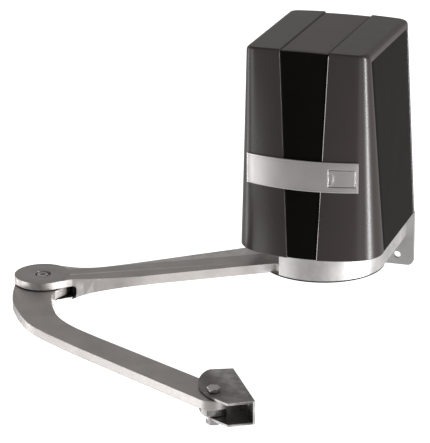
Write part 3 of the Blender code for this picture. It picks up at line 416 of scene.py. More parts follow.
def baked(piece: bpy.types.Object) -> bpy.types.Object:
    """Apply a piece's modifiers and return it as a plain mesh."""
    depsgraph = bpy.context.evaluated_depsgraph_get()
    depsgraph.update()
    mesh = bpy.data.meshes.new_from_object(piece.evaluated_get(depsgraph))
    piece.modifiers.clear()
    piece.data = mesh
    return piece


def settle(piece: bpy.types.Object, body: str, nodes: Sequence[str] = ()) -> None:
    """Fasten a finished piece to its body.

    Args:
        piece: The finished piece.
        body: The frame's body that it moves with.
        nodes: Nodes that it replaces.
    """
    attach(piece, body)
    if nodes:
        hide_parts(*nodes)
    LOG.info("%s rides %s", piece.name, body)


def thick_grid(name: str, outer: list[list[Point]], inner: list[list[Point]],
               hole: Callable[[int, int], bool] = lambda i, j: False,
               smooth_deg: float = SMOOTH_DEG) -> bpy.types.Object:
    """Close two matching grids into one wall, with any cells left open.

    Args:
        name: The piece's name.
        outer: Rows of outer points.
        inner: Rows of inner points, one for each outer point.
        hole: Says which cells are left open.
        smooth_deg: Edges sharper than this stay sharp.

    Returns:
        The closed piece.
    """
    rows, columns = len(outer), len(outer[0])
    count = rows * columns
    vertices = [point for grid in (outer, inner) for row in grid for point in row]
    keep = {(i, j) for i in range(rows - 1) for j in range(columns - 1) if not hole(i, j)}
    faces: list[tuple[int, ...]] = []
    for i, j in sorted(keep):
        a, b = i * columns + j, i * columns + j + 1
        c, d = b + columns, a + columns
        faces.append((a, b, c, d))
        faces.append((a + count, d + count, c + count, b + count))
        sides = (((i - 1, j), a, b), ((i, j + 1), b, c), ((i + 1, j), c, d), ((i, j - 1), d, a))
        for neighbour, start, end in sides:
            if neighbour not in keep:
                faces.append((end, start, start + count, end + count))
    return piece_from(name, vertices, faces, smooth_deg)


def quarter_round(distance: float, radius: float) -> float:
    """Share of full height at a distance from an edge rounded over radius."""
    reach = min(max(distance / radius, 0.0), 1.0)
    return math.sqrt(1.0 - (1.0 - reach) ** 2)


def spaced(start: float, end: float, steps: int) -> list[float]:
    """Evenly spaced values with both ends."""
    return [start + (end - start) * step / steps for step in range(steps + 1)]


def edged(start: float, end: float, steps: int, rounding: float) -> list[float]:
    """Spaced values with close ones at both ends, for a rounded edge."""
    near = [0.0, 0.25 * rounding, 0.6 * rounding]
    middle = spaced(start + rounding, end - rounding, steps)
    return [start + step for step in near] + middle + [end - step for step in reversed(near)]


def refined(node: str, bevel: float, segments: int = 2, angle_deg: float = 32.0) -> bpy.types.Object:
    """A copy of a node's shape with its sharp edges rounded.

    Args:
        node: The frame's node.
        bevel: Width of the rounding.
        segments: Steps across the rounding.
        angle_deg: Edges sharper than this are rounded.

    Returns:
        The rounded copy, not yet riding on anything.
    """
    mesh = frame["nodes"][node].data.copy()
    mesh.materials.clear()
    shape = bmesh.new()
    shape.from_mesh(mesh)
    bmesh.ops.remove_doubles(shape, verts=shape.verts, dist=2e-6)
    bmesh.ops.dissolve_limit(shape, angle_limit=math.radians(0.4), verts=shape.verts, edges=shape.edges)
    shape.to_mesh(mesh)
    shape.free()
    piece = shown(f"{node}_finished", mesh, 180.0)
    rounding = piece.modifiers.new("rounding", "BEVEL")
    rounding.width = bevel
    rounding.segments = segments
    rounding.limit_method = "ANGLE"
    rounding.angle_limit = math.radians(angle_deg)
    rounding.use_clamp_overlap = True
    rounding.miter_outer = "MITER_ARC"
    baked(piece)
    piece.data.set_sharp_from_angle(angle=math.radians(FACET_DEG))
    return piece


# --- geometry nodes ------------------------------------------------------------------

class Repeater:
    """Builds a Geometry Nodes tree that sets copies of a small form round a ring or along a line."""

    def __init__(self, name: str, on_ring: bool) -> None:
        """Build the tree.

        Args:
            name: The tree's name.
            on_ring: True for a ring of copies, False for a line.
        """
        self.on_ring = on_ring
        self.tree = bpy.data.node_groups.new(name, "GeometryNodeTree")
        self.tree.interface.new_socket("Geometry", in_out="INPUT", socket_type="NodeSocketGeometry")
        for label, kind in (("Count", "NodeSocketInt"), ("Reach", "NodeSocketFloat"),
                            ("Length", "NodeSocketFloat"), ("Width", "NodeSocketFloat"),
                            ("Depth", "NodeSocketFloat"), ("Finish", "NodeSocketMaterial")):
            self.tree.interface.new_socket(label, in_out="INPUT", socket_type=kind)
        self.tree.interface.new_socket("Geometry", in_out="OUTPUT", socket_type="NodeSocketGeometry")
        self._fill()

    def _fill(self) -> None:
        """Wire the tree: places, a rounded form, instances, and its finish."""
        nodes, link = self.tree.nodes, self.tree.links.new
        source, sink = nodes.new("NodeGroupInput"), nodes.new("NodeGroupOutput")
        if self.on_ring:
            places = nodes.new("GeometryNodeMeshCircle")
            link(source.outputs["Count"], places.inputs["Vertices"])
            link(source.outputs["Reach"], places.inputs["Radius"])
        else:
            places = nodes.new("GeometryNodeMeshLine")
            places.mode = "END_POINTS"
            end = nodes.new("ShaderNodeCombineXYZ")
            link(source.outputs["Reach"], end.inputs["X"])
            link(source.outputs["Count"], places.inputs["Count"])
            link(end.outputs["Vector"], places.inputs["Offset"])
        size = nodes.new("ShaderNodeCombineXYZ")
        link(source.outputs["Length"], size.inputs["X"])
        link(source.outputs["Width"], size.inputs["Y"])
        link(source.outputs["Depth"], size.inputs["Z"])
        form = nodes.new("GeometryNodeMeshCylinder")
        form.inputs["Vertices"].default_value = 6 if self.on_ring else 12
        form.inputs["Radius"].default_value = 0.5
        form.inputs["Depth"].default_value = 1.0
        stretched = nodes.new("GeometryNodeTransform")
        link(form.outputs["Mesh"], stretched.inputs["Geometry"])
        link(size.outputs["Vector"], stretched.inputs["Scale"])
        copies = nodes.new("GeometryNodeInstanceOnPoints")
        link(places.outputs["Mesh"], copies.inputs["Points"])
        link(stretched.outputs["Geometry"], copies.inputs["Instance"])
        if self.on_ring:
            position = nodes.new("GeometryNodeInputPosition")
            facing = nodes.new("FunctionNodeAlignRotationToVector")
            facing.axis = "X"
            link(position.outputs["Position"], facing.inputs["Vector"])
            link(facing.outputs["Rotation"], copies.inputs["Rotation"])
        real = nodes.new("GeometryNodeRealizeInstances")
        finish = nodes.new("GeometryNodeSetMaterial")
        link(copies.outputs["Instances"], real.inputs["Geometry"])
        link(real.outputs["Geometry"], finish.inputs["Geometry"])
        link(source.outputs["Finish"], finish.inputs["Material"])
        link(finish.outputs["Geometry"], sink.inputs["Geometry"])

    def make(self, name: str, place: Vector, values: dict[str, object]) -> bpy.types.Object:
        """Run the tree and return its result as a plain mesh in place.

        Args:
            name: The piece's name.
            place: Where the ring's centre or the line's start is.
            values: A value for each named input.

        Returns:
            The finished piece, at the origin with its place in its mesh.
        """
        carrier = bpy.data.objects.new(name, bpy.data.meshes.new(name))
        bpy.context.scene.collection.objects.link(carrier)
        modifier = carrier.modifiers.new("repeat", "NODES")
        modifier.node_group = self.tree
        for item in self.tree.interface.items_tree:
            if item.in_out == "INPUT" and item.name in values:
                modifier[item.identifier] = values[item.name]
        baked(carrier)
        carrier.data.set_sharp_from_angle(angle=math.radians(SMOOTH_DEG))
        carrier.data.transform(Matrix.Translation(place))
        return carrier


# --- cover ---------------------------------------------------------------------------

@dataclass
class Ring:
    """The cover's outline at one level, moved in by an inset. Measured from the shaft."""

    half: float
    front: float
    bow: float
    corner: float
    back: float
    rear_corner: float = 8 * MM

    def __post_init__(self) -> None:
        """Work out the bow, the corner arcs and their lengths."""
        self.bow_radius = (self.half ** 2 + self.bow ** 2) / (2 * self.bow)
        self.bow_centre = self.bow_radius - self.front
        self.corner_x = self.half - self.corner
        reach = (self.bow_radius - self.corner) ** 2 - self.corner_x ** 2
        self.corner_y = self.bow_centre - math.sqrt(reach)
        self.lean = math.atan2(self.corner_x, self.bow_centre - self.corner_y)
        self.bow_end = self.bow_radius * self.lean
        self.front_end = self.bow_end + self.corner * (math.pi / 2 - self.lean)

    def along(self, distance: float) -> tuple[float, float, float, float]:
        """Place and outward direction at a distance along the front, from the middle.

        Args:
            distance: Length along the outline, at most front_end.

        Returns:
            X, Y and the two parts of the outward direction.
        """
        if distance <= self.bow_end:
            angle = distance / self.bow_radius
            x, y = self.bow_radius * math.sin(angle), self.bow_centre - self.bow_radius * math.cos(angle)
        else:
            angle = self.lean + (distance - self.bow_end) / self.corner
            x, y = self.corner_x + self.corner * math.sin(angle), self.corner_y - self.corner * math.cos(angle)
        return x, y, math.sin(angle), -math.cos(angle)

    def distance_at(self, x: float) -> float:
        """Length along the front from the middle to a place X to the right."""
        if x <= self.bow_radius * math.sin(self.lean):
            return self.bow_radius * math.asin(x / self.bow_radius)
        turn = math.asin(min((x - self.corner_x) / self.corner, 1.0))
        return self.bow_end + (turn - self.lean) * self.corner

    def rear(self, x: float) -> tuple[float, float, float]:
        """Y and outward direction of the back at a place X to the right."""
        over = (x - (self.half - self.rear_corner)) / self.rear_corner
        if over <= 0.0:
            return self.back, 0.0, 1.0
        over = min(over, 1.0)
        lift = math.sqrt(1.0 - over ** 2)
        return self.back - self.rear_corner * (1.0 - lift), over, lift


@dataclass
class Cover:
    """The tapered cover: shell with two wings, black inserts, a bright bead that paints a highlight on the right
    wing's edge, and roof strip.
    """

    paint: Paint
    half: tuple[float, float] = (102.7 * MM, 88.0 * MM)
    front: tuple[float, float] = (111.7 * MM, 106.3 * MM)
    bow: tuple[float, float] = (28.8 * MM, 9.5 * MM)
    corner: tuple[float, float] = (46.4 * MM, 19.7 * MM)
    back: float = 130.5 * MM
    height: float = 300 * MM
    crown: float = 3 * MM
    fall: float = 7.5 * MM
    edge: float = 7 * MM
    front_edge_share: float = 0.35
    wall: float = 5.2 * MM
    channel: tuple[float, float] = (20.6 * MM, 33.9 * MM)
    channel_depth: float = 2.4 * MM
    step_width: float = 1.5 * MM
    highlight_bead_width: float = 1.25 * MM
    side_depth: float = 1.6 * MM
    side_front: tuple[float, float] = (-50 * MM, -80 * MM)
    side_rear: float = 119.8 * MM
    side_top: float = 288 * MM
    shaft: Vector = field(default_factory=lambda: joint_place("drive_swing"))
    body: str = "cover"

    @staticmethod
    def between(ends: tuple[float, float], level: float) -> float:
        """A size between its bottom and top values."""
        return ends[0] + (ends[1] - ends[0]) * level

    def ring(self, level: float, inset: float = 0.0) -> Ring:
        """The outline at a level from 0 to 1, moved in by inset."""
        return Ring(self.between(self.half, level) - inset, self.between(self.front, level) - inset,
                    self.between(self.bow, level), max(self.between(self.corner, level) - inset, 2 * MM),
                    self.back - inset)

    def roof(self, x: float, y: float) -> float:
        """Height of the top at a place measured from the shaft."""
        sideways = x / self.half[1]
        backwards = (y + self.front[1]) / (self.front[1] + self.back)
        return self.height - self.crown * sideways ** 2 - self.fall * backwards

    def edge_at(self, nx: float, ny: float) -> float:
        """Radius of the top rounding for a wall that faces a direction: tight in front."""
        if ny >= 0.0:
            return self.edge
        return self.edge * (self.front_edge_share + (1.0 - self.front_edge_share) * nx ** 2)

    def level_at(self, z: float, x: float, y: float) -> float:
        """Level of a height at a place on the front."""
        return z / (self.roof(x, y) - self.edge * self.front_edge_share)

    def front_point(self, level: float, x: float, sunk: float) -> Point:
        """A place on the front wall, sunk below its skin.

        Args:
            level: From 0 at the rim to 1 at the top rounding.
            x: Place across, which may be to the left.
            sunk: Distance inwards from the skin; negative stands proud.

        Returns:
            The world place.
        """
        ring = self.ring(level)
        px, py, nx, ny = ring.along(ring.distance_at(abs(x)))
        height = level * (self.roof(px, py) - self.edge_at(nx, ny))
        side = -1.0 if x < 0.0 else 1.0
        return side * (px - nx * sunk), py - ny * sunk + self.shaft.y, height

    def side_point(self, level: float, y: float, sunk: float, side: int) -> Point:
        """A place on a side wall, sunk below its skin."""
        ring = self.ring(level)
        height = level * (self.roof(ring.half, y) - self.edge)
        return side * (ring.half - sunk), y + self.shaft.y, height

    def loop(self, level: float, inset: float, turn: float, sunk: bool) -> list[Point]:
        """One closed loop of the shell, counter-clockwise from the middle of the front.

        Args:
            level: From 0 at the rim to 1 at the top.
            inset: How far the whole outline is moved in.
            turn: Angle of the top rounding, 0 on the wall and a quarter turn on the roof.
            sunk: Whether the channel and the side recesses are sunk.

        Returns:
            The loop's world places.
        """
        ring = self.ring(level, inset)
        step = self.step_width
        lip = ring.distance_at(self.between(self.channel, level))
        right: list[Point] = []

        def add(x: float, y: float, nx: float, ny: float, into: float, rear: bool = False) -> None:
            """Add a place, sunk along the outward direction that the rounding turns upwards."""
            level_in = 0.0 if rear else into * math.cos(turn)
            edge = self.edge_at(nx, ny)
            spared = inset * (1.0 - edge / self.edge) if turn > 0.0 else 0.0
            drop = edge * (1 - math.sin(turn))
            scale = level if turn == 0.0 else 1.0
            height = scale * (self.roof(x, y) - drop) - into * math.sin(turn)
            reach = level_in - spared
            right.append((x - nx * reach, y - ny * reach + self.shaft.y, height))

        channel = self.channel_depth if sunk else 0.0
        front = [(distance, channel) for distance in spaced(0.0, lip, 8)]
        front += [(lip + 0.3 * step, 0.55 * channel), (lip + 0.7 * step, 0.16 * channel)]
        front += [(distance, 0.0) for distance in spaced(lip + step, ring.bow_end, 9)]
        front += [(distance, 0.0) for distance in spaced(ring.bow_end, ring.front_end, 12)[1:]]
        widths = []
        for distance, into in front:
            x, y, nx, ny = ring.along(distance)
            widths.append((x, into))
            add(x, y, nx, ny, into)
        panel = self.side_depth * self.side_mask(level, turn) if sunk else 0.0
        start = max(self.between(self.side_front, level), ring.corner_y + 2.5 * MM)
        end = min(self.side_rear, ring.back - ring.rear_corner - 1.4 * step)
        rows = [(ring.corner_y + 0.5 * (start - step - ring.corner_y), 0.0), (start - step, 0.0),
                (start - 0.5 * step, 0.3 * panel)]
        rows += [(y, panel) for y in spaced(start, end, 12)]
        rows += [(end + 0.5 * step, 0.3 * panel), (end + step, 0.0)]
        for y, into in rows:
            add(ring.half, y, 1.0, 0.0, into)
        for x, into in reversed(widths):
            y, nx, ny = ring.rear(x)
            add(x, y, nx, ny, into, rear=True)
        self.front_count, self.side_count = len(front), len(rows)
        return right + [(-x, y, z) for x, y, z in reversed(right[1:-1])]

    def side_mask(self, level: float, turn: float) -> float:
        """How deep a side recess is at a level: 1 below its top edge, 0 above."""
        if turn > 0.0:
            return 0.0
        below = (self.side_top - level * (self.height - self.edge)) / self.step_width
        return min(max(below, 0.0), 1.0)

    def wall_levels(self) -> list[float]:
        """Levels of the wall's loops, closer together at the rim and at the recess's top."""
        top = self.side_top / (self.height - self.edge)
        step = self.step_width / self.height
        return [0.003] + spaced(0.02, top - 2 * step, 30) + [top - step, top - 0.5 * step, top, 1.0]

    def build_shell(self) -> None:
        """Build the shell as one closed skin with its inner wall."""
        rim_inset = 0.8 * MM
        loops = [self.loop(0.0, rim_inset, 0.0, True)]
        loops += [self.loop(level, 0.0, 0.0, True) for level in self.wall_levels()]
        for angle_deg in (15, 30, 45, 60, 75, 90):
            turn = math.radians(angle_deg)
            loops.append(self.loop(1.0, self.edge * (1 - math.cos(turn)), turn, True))
        inner = [self.loop(level, self.wall, 0.0, False) for level in (0.97, 0.6, 0.3, 0.0)]
        count = len(loops[0])
        vertices = [place for loop in loops + inner for place in loop]
        faces: list[Sequence[int]] = []
        chain = list(range(len(loops)))
        self._skin(faces, chain, count)
        first_inner = len(loops)
        self._skin(faces, list(range(first_inner, first_inner + len(inner))), count)
        self._skin(faces, [first_inner + len(inner) - 1, 0], count)
        self._roof(vertices, faces, (len(loops) - 1) * count, True)
        self._roof(vertices, faces, first_inner * count, False)
        shell = piece_from("cover_shell_finished", vertices, faces, 40.0)
        self.paint.fit(shell, "bronze_plastic", self.body, nodes=["cover_shell"])

    @staticmethod
    def _skin(faces: list, chain: Sequence[int], count: int) -> None:
        """Join successive loops with quads."""
        for below, above in zip(chain, chain[1:]):
            for i in range(count):
                j = (i + 1) % count
                faces.append((below * count + i, below * count + j, above * count + j, above * count + i))

    def _roof(self, vertices: list, faces: list, first: int, outer: bool) -> None:
        """Close a loop with a grid of columns that run from front to back.

        Args:
            vertices: All places so far; the grid's are added.
            faces: All faces so far; the grid's are added.
            first: Number of the loop's first vertex.
            outer: Whether the channel runs over it.
        """
        n, m = self.front_count, self.side_count
        total = 2 * (2 * n + m) - 2

        def number(column: int, row: int) -> int:
            """Vertex number of a grid place; column 0 is the middle."""
            right = abs(column)
            if row == 0:
                place = right
            elif row == m + 1:
                place = 2 * n + m - 1 - right
            elif right == n - 1:
                place = n - 1 + row
            else:
                return inside[(column, row)]
            if column < 0 and place not in (0, 2 * n + m - 1):
                place = total - place
            return first + place

        inside: dict[tuple[int, int], int] = {}
        start, end = vertices[number(n - 1, 0)][1], vertices[number(n - 1, m + 1)][1]
        shares = [(vertices[number(n - 1, row)][1] - start) / (end - start) for row in range(1, m + 1)]
        for column in range(-(n - 2), n - 1):
            front, back = Vector(vertices[number(column, 0)]), Vector(vertices[number(column, m + 1)])
            for row, share in enumerate(shares, 1):
                spot = front.lerp(back, share)
                sunk = self.roof(front.x, front.y - self.shaft.y) - front.z if outer else 0.0
                height = self.roof(spot.x, spot.y - self.shaft.y) - sunk if outer else spot.z
                inside[(column, row)] = len(vertices)
                vertices.append((spot.x, spot.y, height))
        for column in range(-(n - 1), n - 1):
            for row in range(m + 1):
                faces.append((number(column, row), number(column + 1, row),
                              number(column + 1, row + 1), number(column, row + 1)))

    def build_front_panel(self) -> None:
        """Build the black insert in the front channel."""
        clearance, rounding = 0.4 * MM, 0.9 * MM
        outer, inner = [], []
        for level in edged(0.004, 0.999, 30, 0.004):
            wide = self.between(self.channel, level) - clearance
            across = edged(-wide, wide, 16, rounding)
            rise = [quarter_round(wide - abs(x), rounding) for x in across]
            outer.append([self.front_point(level, x, (2.0 - 1.25 * up) * MM) for x, up in zip(across, rise)])
            inner.append([self.front_point(level, x, 2.2 * MM) for x in across])
        panel = thick_grid("front_panel_finished", outer, inner)
        self.paint.fit(panel, "black_gloss", self.body, nodes=["front_panel"])

    def build_edge_highlight_bead(self) -> None:
        """Build the slim bright bead up the right wing's inner edge: a painted highlight where the wing's edge
        catches light.
        """
        outer, inner = [], []
        for level in edged(0.006, 0.994, 30, 0.003):
            start = self.between(self.channel, level)
            across = spaced(start, start + self.highlight_bead_width, 5)
            outer.append([self.front_point(level, x, self.highlight_bead_sunk(x - start)) for x in across])
            inner.append([self.front_point(level, x, 1.5 * MM) for x in across])
        bead = thick_grid("wing_edge_highlight_bead", outer, inner, smooth_deg=60.0)
        # The bright steel finish paints the highlight line along the wing's edge.
        self.paint.fit(bead, "bright_steel", self.body)

    def highlight_bead_sunk(self, across: float) -> float:
        """How far the bead's face lies below the skin: it rises from the insert to the wing."""
        share = across / self.highlight_bead_width
        return 0.9 * MM - 1.05 * MM * math.sin(share * math.pi / 2)

    def build_roof_strip(self) -> None:
        """Build the lighter inlay that runs over the roof between the wings."""
        clearance, rounding = 0.5 * MM, 0.8 * MM
        wide = self.channel[1] - clearance
        front, rear = 2.2 * MM - self.front[1], self.back - 9.0 * MM
        outer, inner = [], []
        for y in edged(front, rear, 24, rounding):
            across = edged(-wide, wide, 14, rounding)
            rise = [quarter_round(min(wide - abs(x), y - front, rear - y), rounding) for x in across]
            outer.append([(x, y + self.shaft.y, self.roof(x, y) - (2.2 - 0.75 * up) * MM)
                          for x, up in zip(across, rise)])
            inner.append([(x, y + self.shaft.y, self.roof(x, y) - 2.35 * MM) for x in across])
        strip = thick_grid("roof_strip", outer, inner)
        self.paint.fit(strip, "bronze_strip", self.body, slot="bronze_plastic")

    def build_side_panels(self) -> None:
        """Build the black inserts in both side recesses."""
        clearance, rounding = 0.4 * MM, 0.8 * MM
        top = self.side_top / (self.height - self.edge) - 0.004
        for side, label in ((1, "right"), (-1, "left")):
            outer, inner = [], []
            for level in edged(0.004, top, 26, 0.004):
                start = self.between(self.side_front, level)
                start = max(start, self.ring(level).corner_y + 2.5 * MM) + clearance
                along = edged(start, self.side_rear - clearance, 14, rounding)
                rise = [quarter_round(min(y - start, self.side_rear - clearance - y), rounding) for y in along]
                outer.append([self.side_point(level, y, (1.3 - 0.8 * up) * MM, side)
                              for y, up in zip(along, rise)])
                inner.append([self.side_point(level, y, 1.45 * MM, side) for y in along])
            name = f"side_panel_{label}"
            panel = thick_grid(f"{name}_finished", outer, inner)
            self.paint.fit(panel, "black_gloss", self.body, nodes=[name])


@dataclass
class BadgeBand:
    """The brushed band across the front and the lock flap in its window."""

    paint: Paint
    cover: Cover
    left: float = -83.7 * MM
    right: float = 76.5 * MM
    low: float = 101 * MM
    high: float = 145 * MM
    proud: float = 2.4 * MM
    rounding: float = 0.7 * MM
    lip_width: float = 2.4 * MM
    window: tuple[float, float, float, float] = (37 * MM, 109.5 * MM, 73 * MM, 134 * MM)
    groove_inset: float = 3.2 * MM
    groove_half: float = 0.5 * MM
    groove_depth: float = 0.25 * MM
    margin: float = 0.3 * MM

    def point(self, x: float, z: float, proud: float) -> Point:
        """A place on the band's face."""
        level = self.cover.level_at(z, x, -self.cover.front[1])
        return self.cover.front_point(level, x, -proud)

    def lines(self, start: float, end: float, steps: int) -> list[float]:
        """Rows or columns of the band between two places, with rounded edges."""
        return edged(start, end, steps, self.rounding)

    def band_rise(self, x: float, z: float) -> float:
        """How proud the band stands at a place."""
        left, low, right, high = self.window
        inside_gap = max(left - x, x - right, low - z, z - high)
        edge = min(x - self.left, self.right - x, z - self.low, self.high - z, inside_gap)
        rise = 0.4 * MM + (self.proud - 0.4 * MM) * quarter_round(edge, self.rounding)
        if x > self.right - self.lip_width:
            rise += 0.5 * MM * quarter_round(min(edge, x - self.right + self.lip_width), self.rounding)
        line = min(z - self.low, self.high - z)
        if abs(line - self.groove_inset) < self.groove_half:
            rise -= self.groove_depth
        return rise

    def build_band(self) -> None:
        """Build the band with its window."""
        left, low, right, high = self.window
        lip = self.right - self.lip_width
        across = self.lines(self.left, left, 44) + self.lines(left, right, 12)[1:]
        across += edged(right, lip, 1, 0.2 * MM)[1:] + edged(lip, self.right, 1, 0.5 * MM)[1:]
        middles = [self.low + self.groove_inset, self.high - self.groove_inset]
        grooves = [line + side * self.groove_half * share for line in middles for side in (-1, 1)
                   for share in (0.9, 1.1)]
        rows = sorted(set(self.lines(self.low, low, 6) + self.lines(low, high, 8)
                          + self.lines(high, self.high, 6) + grooves))
        across = sorted(set(across))
        outer = [[self.point(x, z, self.band_rise(x, z)) for x in across] for z in rows]
        inner = [[self.point(x, z, 0.3 * MM) for x in across] for z in rows]

        def in_window(row: int, column: int) -> bool:
            """Whether a cell lies in the flap's window."""
            x = (across[column] + across[column + 1]) / 2
            z = (rows[row] + rows[row + 1]) / 2
            return left < x < right and low < z < high

        band = thick_grid("badge_band_finished", outer, inner, in_window)
        self.paint.fit(band, "brushed_band", self.cover.body, nodes=["badge_band"])

    def flap_rise(self, x: float, z: float) -> float:
        """How proud the flap stands at a place, with its finger notch."""
        left, low, right, high = self.window
        edge = min(x - left, right - x, z - low, high - z) - self.margin
        rise = 1.1 * MM + 1.0 * MM * quarter_round(edge, self.rounding)
        reach = math.hypot(x - (left - 4.5 * MM), z - (low + high) / 2)
        notch = 10.5 * MM
        if reach < notch:
            rise -= 0.9 * MM * quarter_round(notch - reach, 1.0 * MM)
        else:
            rise += 0.45 * MM * math.exp(-((reach - notch - 0.8 * MM) / (0.6 * MM)) ** 2)
        return rise

    def build_flap(self) -> None:
        """Build the flap over the lock."""
        left, low, right, high = self.window
        margin = self.margin
        across = edged(left + margin, right - margin, 56, self.rounding)
        rows = edged(low + margin, high - margin, 44, self.rounding)
        outer = [[self.point(x, z, self.flap_rise(x, z)) for x in across] for z in rows]
        inner = [[self.point(x, z, 1.0 * MM) for x in across] for z in rows]
        flap = thick_grid("lock_flap_finished", outer, inner)
        self.paint.fit(flap, "brushed_band", "lock_flap", nodes=["lock_flap"])


# --- the rest of the opener ------------------------------------------------------------

@dataclass
class Metalwork:
    """Castings, arms, bracket and fasteners with their edges finished."""

    paint: Paint
    rim_reach: float = 83 * MM
    rim_top: float = -38.9 * MM
    slot_end: float = 360.5 * MM
    slot_heights: tuple[float, float] = (-54.3 * MM, -37.7 * MM)
    roundings: dict[str, tuple[float, int]] = field(default_factory=lambda: {
        "wall_plate": (0.6 * MM, 2), "base_casting": (1.2 * MM, 3), "drive_arm": (1.4 * MM, 3),
        "curved_arm": (1.8 * MM, 3), "gate_bracket": (0.5 * MM, 2), "gate_spacer": (1.0 * MM, 2),
        "gate_bolt": (0.9 * MM, 3), "gate_nut": (0.8 * MM, 2), "gate_washer": (0.4 * MM, 2),
        "elbow_bolt": (0.7 * MM, 2), "elbow_nut": (1.0 * MM, 2), "hub_bolt": (0.8 * MM, 2),
        "hub_washer": (0.4 * MM, 2), "foot_bolt_left": (0.6 * MM, 2), "foot_bolt_right": (0.6 * MM, 2),
        "gearbox_housing": (0.8 * MM, 2), "gearbox_lid": (0.8 * MM, 2), "motor_body": (1.5 * MM, 2),
        "board_tray": (0.5 * MM, 2), "transformer": (0.8 * MM, 2), "run_capacitor": (1.2 * MM, 2),
        "terminal_block": (0.5 * MM, 2)})

    def build(self) -> None:
        """Round every listed node's edges and dress it."""
        slots = {part["node"]: part["material_slot"] for part in frame["record"]["subparts"]}
        for node, (width, segments) in self.roundings.items():
            piece = refined(node, width, segments)
            self.paint.on(piece, slots[node])
            # The drive arm gets painted shade on its hub rim and inside its fork's slot.
            if node == "drive_arm":
                self.blacken_shadows(piece)
            settle(piece, body_of(node), [node])

    def blacken_shadows(self, arm: bpy.types.Object) -> None:
        """Paint shade in black on the hub's thin rim under the skirt and on the inside of the fork's slot."""
        shaft = joint_place("drive_swing")
        # The black rubber finish serves here as painted shade.
        arm.data.materials.append(self.paint.materials["seal_rubber"])
        slot_low, slot_high = self.slot_heights
        for face in arm.data.polygons:
            middle = face.center
            reach = math.hypot(middle.x - shaft.x, middle.y - shaft.y)
            shaded_rim = self.rim_reach < reach < self.rim_reach + 8 * MM and middle.z < self.rim_top
            shaded_slot = reach > self.slot_end and slot_low < middle.z < slot_high
            if shaded_rim or shaded_slot:
                face.material_index = 1


@dataclass
class ElbowFace:
    """The turned face on top of the drive arm's elbow disc."""

    paint: Paint
    radius: float = 38.2 * MM
    bore: float = 11.7 * MM
    rise: float = 0.25 * MM
    steps: int = 96
    elbow: Vector = field(default_factory=lambda: joint_place("elbow_swing"))

    def build(self) -> None:
        """Build the face as a thin ring with a rounded outer edge."""
        top = self.arm_top()
        profile = [(self.radius, -0.3 * MM), (self.radius, 0.1 * MM), (self.radius - 0.3 * MM, self.rise),
                   (self.bore + 0.3 * MM, self.rise),
                   (self.bore, 0.1 * MM), (self.bore, -0.3 * MM)]
        vertices, faces = [], []
        for step in range(self.steps):
            angle = math.tau * step / self.steps
            for radius, height in profile:
                vertices.append((self.elbow.x + radius * math.cos(angle),
                                 self.elbow.y + radius * math.sin(angle), top + height))
        count = len(profile)
        for step in range(self.steps):
            following = (step + 1) % self.steps
            for i in range(count):
                j = (i + 1) % count
                faces.append((step * count + i, following * count + i, following * count + j, step * count + j))
        face = piece_from("elbow_turned_face", vertices, faces)
        self.paint.fit(face, "machined_face", "drive_arm", slot="arm_aluminium")

    @staticmethod
    def arm_top() -> float:
        """Height of the arm's top at its elbow: one bolt-head clearance above the bolt."""
        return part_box("elbow_bolt")[1].z + 0.6 * MM


@dataclass
class ElbowSlotShadePad:
    """A black pad at the closed end of the fork's slot: painted shade that darkens the slot's inside."""

    paint: Paint
    slot_end: float = 361.3 * MM
    rear: float = -12 * MM
    front: float = 23.5 * MM
    thickness: float = 3.4 * MM
    low: float = -53.6 * MM
    high: float = -38.4 * MM
    eye_reach: float = 39.2 * MM
    rounding: float = 0.7 * MM
    shaft: Vector = field(default_factory=lambda: joint_place("drive_swing"))
    elbow: Vector = field(default_factory=lambda: joint_place("elbow_swing"))

    def build(self) -> None:
        """Build the black shade pad, hollowed to clear the turning eye."""
        arm = self.elbow - self.shaft
        along = Vector((arm.x, arm.y, 0.0)).normalized()
        across = Vector((-along.y, along.x, 0.0))
        length = math.hypot(arm.x, arm.y)
        outer, inner = [], []
        for t in spaced(self.rear, self.front, 14):
            end = min(length - math.sqrt(self.eye_reach ** 2 - t ** 2), self.slot_end + self.thickness)
            row = [self.shaft + along * s + across * t for s in spaced(self.slot_end, end, 3)]
            outer.append([(place.x, place.y, self.high) for place in row])
            inner.append([(place.x, place.y, self.low) for place in row])
        shade_pad = thick_grid("elbow_slot_shade_pad", outer, inner)
        rounding = shade_pad.modifiers.new("rounding", "BEVEL")
        rounding.width = self.rounding
        rounding.segments = 2
        rounding.limit_method = "ANGLE"
        baked(shade_pad)
        # The black rubber finish paints the shade inside the fork's slot.
        self.paint.fit(shade_pad, "seal_rubber", "drive_arm")


